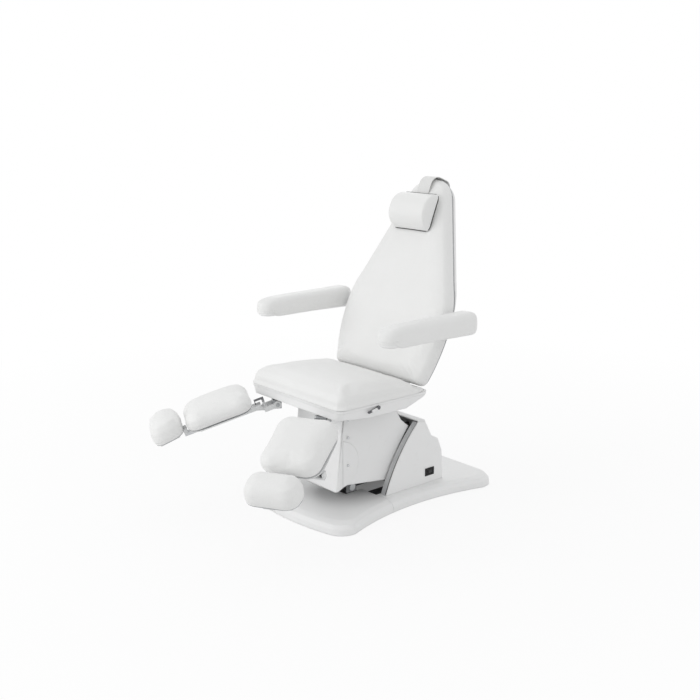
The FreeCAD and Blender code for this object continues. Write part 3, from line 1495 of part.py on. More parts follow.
def make_hub(name, side):
    """Swivel hub: a vertical pin in the seat frame and a cross axle for the leg."""
    top = "hub_boss_top - hub_z"
    under = "hub_boss_bottom - hub_z - cushion_gap"
    drum = box("HubBlock" + name, "0 - hub_half", "0 - hub_radius", "0 - hub_radius", "2 * hub_half",
               "2 * hub_radius", "2 * hub_radius")
    axle = crossrod("HubAxle" + name, "0", "0", "hub_axle_radius", "hub_axle_half")
    flange = rod("HubFlange" + name, "0", "0", f"{under} - hub_flange", "hub_flange_radius",
                 "hub_flange", Rotation())
    pin = rod("HubPin" + name, "0", "0", "0", "hub_pin_radius", top, Rotation())
    node(fuse("Hub" + name, drum, axle, flange, pin), "leg_hub_" + name, hub_frame(side, name))


def leg_step(name):
    """Cranked piece that lifts the tube of the leg above the axle."""
    half = S["leg_bar_height"] / 2
    wide = S["leg_bar_width"]
    rise = S["leg_bar_rise"]
    near = -S["leg_bridge_near"]
    start = -S["leg_step_near"]
    end = -S["leg_step_far"]
    profile = Part.makePolygon([
        Vector(-wide / 2, near, -half), Vector(-wide / 2, end, rise - half),
        Vector(-wide / 2, end, rise + half), Vector(-wide / 2, start, rise + half),
        Vector(-wide / 2, start, half), Vector(-wide / 2, near, half),
        Vector(-wide / 2, near, -half)])
    return solid("LegStep" + name, Part.Face(profile).extrude(Vector(wide, 0, 0)))


def make_leg_arm(name, side):
    """Forked arm with a raised square tube, two risers, a clamp arm and the lug of the release lever."""
    pieces = []
    tools = []
    for part, start in (("Left", "leg_fork_inner"), ("Right", "0 - leg_fork_inner - leg_fork_thickness")):
        pieces.append(rod(part + "Eye" + name, start, "0", "0", "leg_fork_radius", "leg_fork_thickness"))
        pieces.append(box(part + "Cheek" + name, start, "0 - leg_bridge_far", "0 - leg_bar_height / 2",
                          "leg_fork_thickness", "leg_bridge_far", "leg_bar_height"))
    outer = "( leg_fork_inner + leg_fork_thickness )"
    pieces.append(box("LegBridge" + name, f"0 - {outer}", "0 - leg_bridge_far",
                      "0 - leg_bar_height / 2", f"2 * {outer}", "leg_bridge_far - leg_bridge_near",
                      "leg_bar_height"))
    pieces.append(leg_step(name))
    pieces.append(box("LegBar" + name, "0 - leg_bar_width / 2", "0 - leg_bar_end",
                      "leg_bar_rise - leg_bar_height / 2", "leg_bar_width", "leg_bar_end - leg_step_near",
                      "leg_bar_height"))
    across = "0" if side > 0 else "0 - clamp_out"
    under = "leg_bar_rise - leg_bar_height / 2"
    pieces.append(box("ClampArm" + name, across, "0 - leg_bar_end", under, "clamp_out", "clamp_length",
                      "clamp_thickness"))
    cheek = "clamp_out - clamp_thickness" if side > 0 else "0 - clamp_out"
    pieces.append(box("ClampCheek" + name, cheek, "0 - leg_bar_end", under, "clamp_thickness",
                      "clamp_length", "clamp_height"))
    for part, near in (("Near", "riser_near"), ("Far", "riser_far")):
        pieces.append(box(part + "Riser" + name, "0 - leg_bar_width / 2", f"0 - {near} - riser_length",
                          "leg_bar_rise", "leg_bar_width", "riser_length",
                          "calf_bottom - cushion_gap - tray_thickness - leg_bar_rise"))
    pieces.append(box("HookLug" + name, "0 - hook_half / 2", "0 - hook_pivot - 2 * hook_pin_radius",
                      "0", "hook_half", "4 * hook_pin_radius", "hook_rise + 2 * hook_pin_radius"))
    pieces.append(crossrod("HookPin" + name, "0 - hook_pivot", "hook_rise", "hook_pin_radius", "hook_half"))
    tools.append(crossrod("AxleBore" + name, "0", "0", "hub_axle_radius + running_gap",
                          f"{outer} + overrun"))
    inner = "leg_bar_width / 2 - leg_bar_wall"
    tools.append(box("LegBore" + name, f"0 - ( {inner} )", "0 - leg_bar_end - overrun",
                     f"{under} + leg_bar_wall", f"2 * ( {inner} )", "leg_bar_end - leg_step_far",
                     "leg_bar_height - 2 * leg_bar_wall"))
    blank = fuse("LegArmBlank" + name, *pieces)
    place = leg_frame(side, name)
    node(cut("LegArm" + name, blank, *tools), "leg_arm_" + name, place)
    make_hook(name, place)
    tray_half = S["calf_half_width"] - S["calf_tray_inset"]
    near = S["calf_tray_inset"] - S["calf_centre"] - S["calf_half_length"]
    far = S["calf_half_length"] - S["calf_centre"] - S["calf_tray_inset"]
    tray_face = Part.Face(rounded_rectangle(tray_half, near, far, S["calf_corner"]))
    aside = Vector(side * S["calf_aside"], 0, 0)
    tray_face.translate(aside + Vector(0, 0, S["calf_bottom"] - S["cushion_gap"] - S["tray_thickness"]))
    tray = solid("CalfTray" + name, tray_face.extrude(Vector(0, 0, S["tray_thickness"])))
    node(tray, "calf_tray_" + name, place)
    pad = cushion(
        "CalfCushion" + name, S["calf_half_width"], -S["calf_centre"] - S["calf_half_length"],
        S["calf_half_length"] - S["calf_centre"], S["calf_corner"], S["calf_height"],
        S["calf_round"], S["calf_bottom"])
    shifted = place.multiply(Placement(aside, Rotation()))
    node(pad, "calf_cushion_" + name, shifted)


def make_hook(name, place):
    """Release lever: two cheeks on a cross pin, a top plate and a hooked end."""
    pivot_y = -S["hook_pivot"]
    rise = S["hook_rise"]
    pin = S["hook_pin_radius"]
    half = S["hook_half"]
    cheek = S["hook_cheek"]
    top = S["hook_height"]
    near = pivot_y + 2 * pin
    far = pivot_y - S["hook_length"]
    shape = block(-half, far, top - cheek, half, near, top)
    for side in SIDES.values():
        inner = side * (half - cheek)
        outer = side * half
        low, high = sorted((inner, outer))
        shape = shape.fuse(block(low, pivot_y - 2 * pin, rise - 2 * pin, high, near, top))
    shape = shape.fuse(block(-half, far, top - S["hook_drop"], half, far + cheek, top))
    bore_start = Vector(-2 * half, pivot_y, rise)
    hole = Part.makeCylinder(pin + S["running_gap"], 4 * half, bore_start, Vector(1, 0, 0))
    node(solid("Hook" + name, shape.cut(hole).removeSplitter()), "leg_release_" + name, place)


def make_foot(name, side):
    """Telescopic bar in the leg tube and the tilting foot cushion on it."""
    gap = "leg_slide_gap"
    half = f"( leg_bar_width / 2 - leg_bar_wall - {gap} )"
    high = f"( leg_bar_height / 2 - leg_bar_wall - {gap} )"
    low = f"leg_bar_rise - {high}"
    bar = box("SlideBar" + name, f"0 - {half}", "0 - foot_reach", low, f"2 * {half}",
              "foot_reach - slide_start", f"2 * {high}")
    knuckle = crossrod("SlideKnuckle" + name, "0 - foot_reach", "foot_pivot_rise",
                       "foot_eye_radius", half)
    stem = box("SlideStem" + name, f"0 - {half}", "0 - foot_reach - foot_eye_radius", low,
               f"2 * {half}", "2 * foot_eye_radius", f"foot_pivot_rise - ( {low} )")
    bore = crossrod("SlideBore" + name, "0 - foot_reach", "foot_pivot_rise",
                    "foot_pin_radius + running_gap", f"{half} + overrun")
    shift = Placement(Vector(0, -S[name + "_extension"], 0), Rotation())
    slide = cut("FootSlide" + name, fuse("FootSlideBlank" + name, bar, knuckle, stem), bore)
    node(slide, "foot_slide_" + name, leg_frame(side, name).multiply(shift))
    inner = f"( {half} + side_gap )"
    pieces = []
    for part, start in (("Left", inner), ("Right", f"0 - {inner} - foot_ear_thickness")):
        pieces.append(rod(part + "FootEye" + name, start, "0", "0", "foot_eye_radius",
                          "foot_ear_thickness"))
        pieces.append(box(part + "FootEar" + name, start, "0 - foot_eye_radius", "0",
                          "foot_ear_thickness", "2 * foot_eye_radius", "foot_plate_bottom"))
    pieces.append(crossrod("FootPin" + name, "0", "0", "foot_pin_radius",
                           f"{inner} + foot_ear_thickness"))
    wide = f"( {inner} + foot_ear_thickness )"
    pieces.append(box("FootNeck" + name, f"0 - {wide}", "0 - foot_length + tray_inset",
                      "foot_plate_bottom", f"2 * {wide}", "foot_length - tray_inset + foot_eye_radius",
                      "foot_plate_thickness"))
    pieces.append(box("FootPlate" + name, "tray_inset * 2 - foot_half_width",
                      "0 - foot_length + 2 * tray_inset", "foot_plate_bottom",
                      "2 * foot_half_width - 4 * tray_inset",
                      "foot_length - 4 * tray_inset", "foot_plate_thickness"))
    node(fuse("FootBracket" + name, *pieces), "foot_bracket_" + name, foot_frame(side, name))
    pad = cushion(
        "FootCushion" + name, S["foot_half_width"], S["foot_near"] - S["foot_length"],
        S["foot_near"], S["foot_corner"], S["foot_height"], S["foot_round"],
        S["foot_plate_bottom"] + S["foot_plate_thickness"] + S["cushion_gap"])
    node(pad, "foot_cushion_" + name, foot_frame(side, name))


def check_and_export():
    """Recompute, stop on any failed object, then write one file for each sub-part."""
    doc.recompute()
    failed = [item.Name for item in doc.Objects if {"Invalid", "Error"} & set(item.State)]
    assert not failed, f"failed objects: {failed}"
    for item in nodes:
        shape = item.Shape
        assert not shape.isNull() and shape.isValid(), item.Label
        assert shape.Solids, item.Label
        shape.exportStep(f"parts/{item.Label}.step")
        box_of = shape.BoundBox
        print(f"{item.Label:24s} solids {len(shape.Solids)} volume {shape.Volume:12.0f}"
              f" x {box_of.XMin:7.1f} {box_of.XMax:7.1f} y {box_of.YMin:7.1f} {box_of.YMax:7.1f}"
              f" z {box_of.ZMin:7.1f} {box_of.ZMax:7.1f}")
    print(f"{len(nodes)} sub-parts")


make_base_frame()
make_column_plates()
make_lift_pins()
make_lift_bracket()
make_plinth()
make_housing()
make_trims()
make_panel()
make_control_box()
make_links()
make_actuators()
make_carrier()
make_carrier_cover()
make_screws()
make_seat_frame()
make_seat_pan()
make_seat_cushion()
make_back_pins()
make_seat_lever()
make_back_frame()
make_back_shell()
make_back_cushion()
make_head()
make_armrests()
for leg_name, leg_side in SIDES.items():
    make_hub(leg_name, leg_side)
    make_leg_arm(leg_name, leg_side)
    make_foot(leg_name, leg_side)
check_and_export()
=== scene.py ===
from math import radians

import bmesh
import bpy
import numpy as np
from mathutils import Matrix, Vector

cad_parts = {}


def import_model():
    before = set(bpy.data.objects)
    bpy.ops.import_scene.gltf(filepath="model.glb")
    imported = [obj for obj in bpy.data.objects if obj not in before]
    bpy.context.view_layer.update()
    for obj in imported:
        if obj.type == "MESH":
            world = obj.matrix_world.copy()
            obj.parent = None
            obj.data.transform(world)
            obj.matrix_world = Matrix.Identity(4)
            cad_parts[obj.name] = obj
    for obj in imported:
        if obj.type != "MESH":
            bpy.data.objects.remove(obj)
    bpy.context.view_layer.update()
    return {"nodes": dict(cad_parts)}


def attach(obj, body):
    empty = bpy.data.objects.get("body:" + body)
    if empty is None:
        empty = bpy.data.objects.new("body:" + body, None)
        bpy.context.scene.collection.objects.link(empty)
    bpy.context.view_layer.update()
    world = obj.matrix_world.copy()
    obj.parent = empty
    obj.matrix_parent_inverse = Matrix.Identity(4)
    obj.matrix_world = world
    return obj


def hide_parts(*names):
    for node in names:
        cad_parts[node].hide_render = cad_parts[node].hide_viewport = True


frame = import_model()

NODES = frame["nodes"]
SIDES = {"left": 1, "right": -1}
UP = np.array((0.0, 0.0, 1.0))

# Finishes, as linear colours, with the scales of their textures on the object


class Shade:
    """A procedural finish: a principled shader with helper nodes in front of it."""

    def __init__(self, name, roughness=0.5, metallic=0.0):
        self.material = bpy.data.materials.new(name)
        self.material.use_nodes = True
        self.tree = self.material.node_tree
        self.tree.nodes.clear()
        self.out = self.node("ShaderNodeOutputMaterial")
        self.shader = self.node("ShaderNodeBsdfPrincipled")
        self.link(self.shader.outputs["BSDF"], self.out.inputs["Surface"])
        self.set("Roughness", roughness)
        self.set("Metallic", metallic)
        self.place = self.node("ShaderNodeTexCoord").outputs["Object"]
        self.normal = None

    def node(self, kind, **values):
        """A new node, with values for its input sockets."""
        made = self.tree.nodes.new(kind)
        for socket, value in values.items():
            made.inputs[socket.replace("_", " ")].default_value = value
        return made

    def link(self, start, end):
        self.tree.links.new(start, end)

    def set(self, name, value):
        self.shader.inputs[name].default_value = value

    def stretched(self, scale):
        """The place on the object, with another scale along each axis."""
        mapping = self.node("ShaderNodeMapping", Scale=scale)
        self.link(self.place, mapping.inputs["Vector"])
        return mapping.outputs["Vector"]

    def noise(self, scale, detail, rough=0.5, place=None):
        node = self.node("ShaderNodeTexNoise", Scale=scale, Detail=detail, Roughness=rough)
        self.link(place or self.place, node.inputs["Vector"])
        return node.outputs["Fac"]

    def cells(self, scale, feature="F1"):
        node = self.node("ShaderNodeTexVoronoi", Scale=scale)
        node.feature = feature
        self.link(self.place, node.inputs["Vector"])
        return node.outputs["Distance"]

    def waves(self, scale, direction):
        node = self.node("ShaderNodeTexWave", Scale=scale, Distortion=0.0)
        node.wave_type = "BANDS"
        node.bands_direction = direction
        self.link(self.place, node.inputs["Vector"])
        return node.outputs["Fac"]

    def maths(self, operation, first, second):
        node = self.node("ShaderNodeMath")
        node.operation = operation
        for socket, value in zip(node.inputs, (first, second)):
            if isinstance(value, (int, float)):
                socket.default_value = value
            else:
                self.link(value, socket)
        return node.outputs["Value"]

    def length(self, vector):
        node = self.node("ShaderNodeVectorMath")
        node.operation = "LENGTH"
        self.link(vector, node.inputs[0])
        return node.outputs["Value"]

    def span(self, value, low, high, new_low=0.0, new_high=1.0):
        """The value, with the span from low to high spread over another one."""
        node = self.node("ShaderNodeMapRange", From_Min=low, From_Max=high, To_Min=new_low, To_Max=new_high)
        self.link(value, node.inputs["Value"])
        return node.outputs["Result"]

    def mixed(self, share, first, second):
        """The first colour, with a share of the second one."""
        node = self.node("ShaderNodeMix")
        node.data_type = "RGBA"
        colours = [socket for socket in node.inputs if socket.type == "RGBA"]
        for socket, value in zip(colours, (first, second)):
            if isinstance(value, tuple):
                socket.default_value = (*value, 1.0)
            else:
                self.link(value, socket)
        self.link(share, node.inputs[0])
        return [socket for socket in node.outputs if socket.type == "RGBA"][0]

    def some(self, share, mask, first, second):
        """The first colour, with a fixed share of the second one where the mask is 1."""
        return self.mixed(self.maths("MULTIPLY", mask, share), first, second)

    def edges(self, radius, low=0.02, high=0.12):
        """Where the surface turns sharply: 1 on an edge, 0 on a plain face."""
        bevel = self.node("ShaderNodeBevel", Radius=radius)
        bevel.samples = 4
        plain = self.node("ShaderNodeNewGeometry")
        turn = self.node("ShaderNodeVectorMath")
        turn.operation = "DOT_PRODUCT"
        self.link(bevel.outputs["Normal"], turn.inputs[0])
        self.link(plain.outputs["Normal"], turn.inputs[1])
        return self.span(self.maths("SUBTRACT", 1.0, turn.outputs["Value"]), low, high)

    def rounded(self, radius):
        """Softens the shading over small edges."""
        bevel = self.node("ShaderNodeBevel", Radius=radius)
        bevel.samples = 6
        self.normal = bevel.outputs["Normal"]

    def bump(self, height, strength, distance):
        node = self.node("ShaderNodeBump", Strength=strength, Distance=distance)
        self.link(height, node.inputs["Height"])
        if self.normal:
            self.link(self.normal, node.inputs["Normal"])
        self.normal = node.outputs["Normal"]

    def colour(self, value):
        self.link(value, self.shader.inputs["Base Color"])

    def roughness(self, mask, low, high):
        """A sheen that follows the middle of a noise."""
        self.link(self.span(mask, 0.3, 0.7, low, high), self.shader.inputs["Roughness"])

    def done(self):
        if self.normal:
            self.link(self.normal, self.shader.inputs["Normal"])
        return self.material


def moulding():
    """Satin moulded plastic with a fine spark-eroded grain and faint handling marks."""
    s = Shade("white_moulding_finish")
    clouds = s.mixed(s.noise(4.0, 4.0), (0.815, 0.815, 0.812), (0.855, 0.855, 0.852))
    scuffs = s.span(s.noise(38.0, 6.0, 0.65), 0.60, 0.78)
    scuffed = s.some(0.30, scuffs, clouds, (0.66, 0.66, 0.65))
    s.colour(s.some(0.20, s.edges(0.004), scuffed, (0.86, 0.86, 0.855)))
    s.roughness(s.noise(60.0, 4.0), 0.36, 0.48)
    s.rounded(0.006)
    s.bump(s.noise(950.0, 2.0), strength=0.10, distance=0.0004)
    return s.done()


def vinyl():
    """Soft coated upholstery: leather grain, slack creases and a slightly uneven sheen."""
    s = Shade("white_vinyl_finish")
    clouds = s.mixed(s.noise(7.0, 4.0), (0.790, 0.790, 0.780), (0.845, 0.845, 0.840))
    pores = s.span(s.cells(520.0, "DISTANCE_TO_EDGE"), 0.0, 0.12)
    s.colour(s.mixed(s.maths("SUBTRACT", 1.0, pores), clouds, (0.74, 0.74, 0.73)))
    s.roughness(s.noise(24.0, 4.0), 0.40, 0.54)
    s.bump(s.noise(11.0, 3.0, 0.4), strength=0.35, distance=0.006)
    s.bump(s.noise(60.0, 4.0, 0.55), strength=0.22, distance=0.0012)
    s.bump(pores, strength=0.22, distance=0.00035)
    s.set("Sheen Weight", 0.12)
    s.set("Sheen Roughness", 0.45)
    return s.done()


def painted(name, low, high, wear):
    """Powder coat: orange-peel skin, worn a little along its edges."""
    s = Shade(name)
    clouds = s.mixed(s.noise(9.0, 4.0), low, high)
    chips = s.maths("MULTIPLY", s.edges(0.0018, 0.05, 0.22), s.span(s.noise(140.0, 5.0), 0.50, 0.62))
    s.colour(s.some(0.45, chips, clouds, wear))
    s.roughness(s.noise(45.0, 4.0), 0.32, 0.46)
    s.rounded(0.0015)
    s.bump(s.noise(520.0, 2.0), strength=0.12, distance=0.0004)
    return s.done()


def bright():
    """Turned and plated steel with fine draw marks."""
    s = Shade("bright_steel_finish", metallic=1.0)
    lines = s.noise(160.0, 4.0, 0.6, s.stretched((1.0, 1.0, 9.0)))
    s.colour(s.mixed(s.noise(30.0, 4.0), (0.50, 0.51, 0.52), (0.62, 0.63, 0.64)))
    s.roughness(lines, 0.22, 0.34)
    s.rounded(0.0008)
    s.bump(lines, strength=0.06, distance=0.0003)
    return s.done()


def plated(name, low, high):
    """Dull zinc-plated steel with a mottled, slightly blotched surface."""
    s = Shade(name, metallic=0.75)
    clouds = s.mixed(s.noise(34.0, 5.0, 0.6), low, high)
    s.colour(s.some(0.5, s.edges(0.0015), clouds, (0.66, 0.67, 0.68)))
    s.link(s.span(s.cells(210.0), 0.0, 0.6, 0.34, 0.52), s.shader.inputs["Roughness"])
    s.rounded(0.0012)
    s.bump(s.noise(420.0, 3.0), strength=0.10, distance=0.0003)
    return s.done()


def dark():
    """Black oxide steel of the hidden frame and the drive bodies."""
    s = Shade("dark_steel_finish", metallic=0.55)
    clouds = s.mixed(s.noise(26.0, 5.0), (0.075, 0.076, 0.078), (0.120, 0.121, 0.123))
    s.colour(s.some(0.6, s.edges(0.0015), clouds, (0.22, 0.22, 0.22)))
    s.roughness(s.noise(80.0, 4.0), 0.40, 0.58)
    s.rounded(0.0012)
    s.bump(s.noise(380.0, 3.0), strength=0.12, distance=0.0004)
    return s.done()


def plastic(name, low, high):
    """Textured moulded plastic of trims, boxes and knobs, a little lighter along its edges."""
    s = Shade(name)
    clouds = s.mixed(s.noise(20.0, 4.0), low, high)
    lighter = tuple(level * 1.5 + 0.02 for level in high)
    s.colour(s.some(0.4, s.edges(0.0012), clouds, lighter))
    s.roughness(s.noise(70.0, 4.0), 0.44, 0.60)
    s.rounded(0.0010)
    s.bump(s.cells(1300.0), strength=0.14, distance=0.0002)
    return s.done()


def ribbed():
    """Grey extruded strip with a fine cross rib about every 4 mm."""
    s = Shade("ribbed_strip_finish", roughness=0.55)
    ribs = s.waves(78.0, "Z")
    clouds = s.mixed(s.noise(24.0, 4.0), (0.58, 0.585, 0.59), (0.66, 0.665, 0.67))
    # The grooves between the ribs are painted darker: painted shade in the grooves.
    s.colour(s.mixed(s.span(ribs, 0.0, 0.35, 0.45, 0.0), clouds, (0.34, 0.34, 0.35)))
    s.rounded(0.0010)
    s.bump(ribs, strength=0.5, distance=0.0008)
    return s.done()


def switch_plate():
    """Fine matt black plate round the rocker."""
    s = Shade("switch_plate_finish", roughness=0.62)
    s.colour(s.mixed(s.noise(90.0, 4.0), (0.010, 0.010, 0.011), (0.020, 0.020, 0.021)))
    s.bump(s.cells(1500.0), strength=0.2, distance=0.0002)
    s.rounded(0.0008)
    s.set("Specular IOR Level", 0.25)
    return s.done()


def webbing():
    """Flat woven strap: crossed ribs with a soft, slightly fuzzy surface."""
    s = Shade("white_strap_finish", roughness=0.75)
    weave = s.maths("MAXIMUM", s.waves(230.0, "X"), s.waves(330.0, "Z"))
    woven = s.mixed(weave, (0.60, 0.60, 0.59), (0.80, 0.80, 0.79))
    s.colour(s.some(0.25, s.noise(60.0, 4.0), woven, (0.68, 0.68, 0.67)))
    s.bump(weave, strength=0.35, distance=0.0006)
    s.set("Sheen Weight", 0.2)
    return s.done()


FINISH = {
    "white_moulding": moulding(),
    "white_vinyl": vinyl(),
    "white_steel": painted(
        "white_steel_finish", (0.700, 0.706, 0.706), (0.755, 0.760, 0.760), (0.48, 0.48, 0.47)),
    "grey_steel": plated("grey_steel_finish", (0.36, 0.37, 0.38), (0.50, 0.51, 0.52)),
    "bright_steel": bright(),
    "dark_steel": dark(),
    "black_plastic": plastic("black_plastic_finish", (0.018, 0.018, 0.019), (0.034, 0.034, 0.036)),
    "grey_plastic": plastic("grey_plastic_finish", (0.30, 0.31, 0.32), (0.38, 0.39, 0.40)),
    "white_strap": webbing(),
}


def own_finishes():
    """Finishes of single nodes that look unlike the rest of their slot."""
    # The hidden drive parts are painted dark grey, darker than their white slot: painted shade standing in
    # for the shadow in the gap under the cover.
    drive = painted("drive_painted_shade_finish", (0.150, 0.155, 0.160), (0.200, 0.205, 0.210), (0.30, 0.30, 0.30))
    latch = plated("latch_plating_finish", (0.10, 0.10, 0.11), (0.17, 0.17, 0.18))
    strip = ribbed()
    return {
        "carrier_plate_left": drive,
        "carrier_plate_right": drive,
        "carrier_tubes": drive,
        "main_arm": drive,
        "stabiliser_arm": drive,
        "leg_release_left": latch,
        "leg_release_right": latch,
        "seat_side_lever": latch,
        "switch_panel": switch_plate(),
        "housing_trim_left": strip,
        "housing_trim_right": strip,
    }


def dress_nodes():
    own = own_finishes()
    for name, part in NODES.items():
        for place in part.material_slots:
            place.material = own.get(name) or FINISH[place.material.name.split(".")[0]]


dress_nodes()

# Helpers for meshes and pieces

SAME_PLACE = 0.00002  # points closer than this are one


def points_of(mesh):
    points = np.zeros(len(mesh.vertices) * 3)
    mesh.vertices.foreach_get("co", points)
    return points.reshape(-1, 3)


def put_points(mesh, points):
    mesh.vertices.foreach_set("co", points.ravel())
    mesh.update()


def placed(name, mesh):
    obj = bpy.data.objects.new(name, mesh)
    bpy.context.scene.collection.objects.link(obj)
    return obj


def applied(obj):
    """Replaces the mesh of obj by what its modifiers make of it."""
    bpy.context.view_layer.update()
    made = obj.evaluated_get(bpy.context.evaluated_depsgraph_get())
    mesh = bpy.data.meshes.new_from_object(made)
    obj.modifiers.clear()
    obj.data = mesh
    return mesh


def finished(obj, body, slot, finer=False):
    """Gives a piece its finish, its body and its slot, and once more as many faces if wanted."""
    if finer:
        modifier = obj.modifiers.new("finer", "SUBSURF")
        modifier.levels = 1
        modifier.render_levels = 1
        applied(obj)
    obj.data.materials.clear()
    obj.data.materials.append(FINISH[slot])
    obj.data.shade_smooth()
    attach(obj, body)
    return obj


def walled(bm, near, far):
    """A band of faces between two rings that have as many points."""
    for k in range(len(near)):
        m = (k + 1) % len(near)
        bm.faces.new((near[k], near[m], far[m], far[k]))


def lofted(bm, rings):
    """A closed skin through a row of rings, with a flat end on the first and the last."""
    skin = [[bm.verts.new(point) for point in ring] for ring in rings]
    for near, far in zip(skin, skin[1:]):
        walled(bm, near, far)
    bm.faces.new(skin[0][::-1])
    bm.faces.new(skin[-1])


def mesh_of(bm, name):
    """Turns the faces outwards, makes the mesh and frees the working copy."""
    bmesh.ops.recalc_face_normals(bm, faces=bm.faces[:])
    mesh = bpy.data.meshes.new(name)
    bm.to_mesh(mesh)
    bm.free()
    return mesh


def arc(across, along, radius, start, end, count):
    """Points of an arc about a centre, between two angles in degrees."""
    turns = np.radians(np.linspace(start, end, count))
    return [(across + radius * np.cos(t), along + radius * np.sin(t)) for t in turns]


def tube_mesh(name, line, radius, up, closed=True, sides=8):
    """A round tube along a line."""
    ahead = np.roll(line, -1, 0) - np.roll(line, 1, 0) if closed else np.gradient(line, axis=0)
    ahead /= np.linalg.norm(ahead, axis=1, keepdims=True)
    out = np.cross(ahead, up)
    out /= np.linalg.norm(out, axis=1, keepdims=True)
    high = np.cross(out, ahead)
    turns = np.linspace(0.0, 2 * np.pi, sides, endpoint=False)
    rings = np.stack([line + radius * (np.cos(t) * out + np.sin(t) * high) for t in turns], axis=1)
    bm = bmesh.new()
    if closed:
        skin = [[bm.verts.new(point) for point in ring] for ring in rings]
        for near, far in zip(skin, skin[1:] + skin[:1]):
            walled(bm, near, far)
    else:
        lofted(bm, rings)
    return mesh_of(bm, name)


def ring_at(mesh, point, up):
    """The longest closed line in which a plane cuts the mesh, as ordered points."""
    bm = bmesh.new()
    bm.from_mesh(mesh)
    bmesh.ops.remove_doubles(bm, verts=bm.verts[:], dist=SAME_PLACE)
    bmesh.ops.bisect_plane(
        bm, geom=bm.verts[:] + bm.edges[:] + bm.faces[:], plane_co=Vector(point), plane_no=Vector(up),
        clear_inner=True, clear_outer=True)
    left = set(bm.verts)
    best = []
    for here in bm.verts:
        chain = []
        while here in left:
            left.discard(here)
            chain.append(here)
            ahead = [edge.other_vert(here) for edge in here.link_edges]
            here = next((vert for vert in ahead if vert in left), None)
        best = max(best, chain, key=len)
    ring = np.array([vert.co for vert in best])
    bm.free()
    return ring


def measured(ring):
    """The closed line with its first point once more, and how far along it each point is."""
    closed = np.vstack([ring, ring[:1]])
    steps = np.linalg.norm(np.diff(closed, axis=0), axis=1)
    return closed, np.concatenate([[0.0], np.cumsum(steps)])


def spots_at(closed, reach, marks):
    return np.stack([np.interp(marks, reach, closed[:, axis]) for axis in range(3)], axis=1)


def evened(ring, spacing):
    """The closed line again with even steps, its small wobbles averaged out twice."""
    closed, reach = measured(ring)
    count = max(12, int(round(reach[-1] / spacing)))
    even = spots_at(closed, reach, np.linspace(0.0, reach[-1], count, endpoint=False))
    for _ in range(2):
        even = (np.roll(even, 1, 0) + 2 * even + np.roll(even, -1, 0)) / 4
    return even


# Upholstery

FLAT = 0.9998  # cosine under which two faces count as one plane
LEVEL_PLAY = 0.0005
BASE_FACES = 40  # how many of the largest faces are tried as the base
GLUED_VOXELS = 0.7  # height of the skin that stays glued down, in faces
FREE_VOXELS = 3  # height from which it is quite free
PRESSURE = 4.0
SWELL_STEPS = 20
FOOT_HEIGHT = 0.014  # of the tucked foot that spread fills out
ROLL_POWER = 6
DRAWN_SHARE = 0.6  # by how much the sides are drawn in less at the top than at the foot
FAR_CORNER_SHARES = (0.35, 0.65)
FAR_CORNER_POWER = 1.5
PIPING_SPACING = 0.009
STITCH_SPACING = 0.004
STITCH_LENGTH = 0.0042
STITCH_STEP = 0.0066
STITCH_RADIUS = 0.00055
STITCH_SHARES = ((-0.5, 0.35), (-0.3, 1.0), (0.3, 1.0), (0.5, 0.35))  # places along it and its widths
STITCH_SIDES = 5


def base_plane(mesh):
    """Outward direction, level and points of the widest flat side of the mesh."""
    normals = np.array([face.normal for face in mesh.polygons])
    areas = np.array([face.area for face in mesh.polygons])
    widest, down = 0.0, None
    for candidate in normals[np.argsort(-areas)[:BASE_FACES]]:
        total = areas[normals @ candidate > FLAT].sum()
        if total > widest * 1.001:
            widest, down = total, candidate
    flat = {i for face, normal in zip(mesh.polygons, normals) if normal @ down > FLAT for i in face.vertices}
    base = points_of(mesh)[sorted(flat)]
    level = np.median(base @ down)
    return down, level, base[abs(base @ down - level) < LEVEL_PLAY]


def local_frame(mesh):
    """Middle of the flat base, the two directions along its sides, and the way up from it."""
    down, level, base = base_plane(mesh)
    up = -down
    along = np.array((1.0, 0.0, 0.0)) - up * up[0]
    along /= np.linalg.norm(along)
    across = np.cross(up, along)
    best = None
    for degrees in np.arange(-45.0, 45.0, 0.5):
        c, s = np.cos(radians(degrees)), np.sin(radians(degrees))
        first, second = along * c + across * s, across * c - along * s
        size = np.ptp(base @ first) * np.ptp(base @ second)
        if best is None or size < best[0] - 1e-7:
            best = (size, first, second)
    along, across = best[1:]
    points = points_of(mesh)
    u, v = points @ along, points @ across
    centre = along * (u.max() + u.min()) / 2 + across * (v.max() + v.min()) / 2 - up * level
    return centre, along, across, up


def smooth(obj):
    modifier = obj.modifiers.new("smooth", "SMOOTH")
    modifier.factor = 0.5
    modifier.iterations = 2
    return applied(obj)


def remeshed(obj, voxel):
    """An even skin over the solid, welded and smoothed a little."""
    weld = obj.modifiers.new("weld", "WELD")
    weld.merge_threshold = SAME_PLACE
    remesh = obj.modifiers.new("remesh", "REMESH")
    remesh.mode = "VOXEL"
    remesh.voxel_size = voxel
    applied(obj)
    return smooth(obj)


def inflated(obj, base, cap):
    """Lets the cover swell like foam under a tight skin, the base staying glued down."""
    start = points_of(obj.data)
    group = obj.vertex_groups.new(name="glued")
    group.add([int(i) for i in np.where(base)[0]], 1.0, "REPLACE")
    modifier = obj.modifiers.new("cover", "CLOTH")
    cloth = modifier.settings
    cloth.quality = 4
    cloth.use_pressure = True
    cloth.uniform_pressure_force = PRESSURE
    cloth.effector_weights.gravity = 0.0
    cloth.vertex_group_mass = "glued"
    modifier.collision_settings.use_collision = False
    for step in range(1, SWELL_STEPS + 1):
        bpy.context.scene.frame_set(step)
    mesh = applied(obj)
    bpy.context.scene.frame_set(1)
    moved = points_of(mesh) - start
    far = np.linalg.norm(moved, axis=1, keepdims=True)
    held = cap * np.tanh(far / cap) / np.maximum(far, 1e-9)
    put_points(mesh, start + moved * held)


def stretched_to(values, low, high):
    """Scales values so that they reach from low to high."""
    return low + (values - values.min()) * (high - low) / (values.max() - values.min())


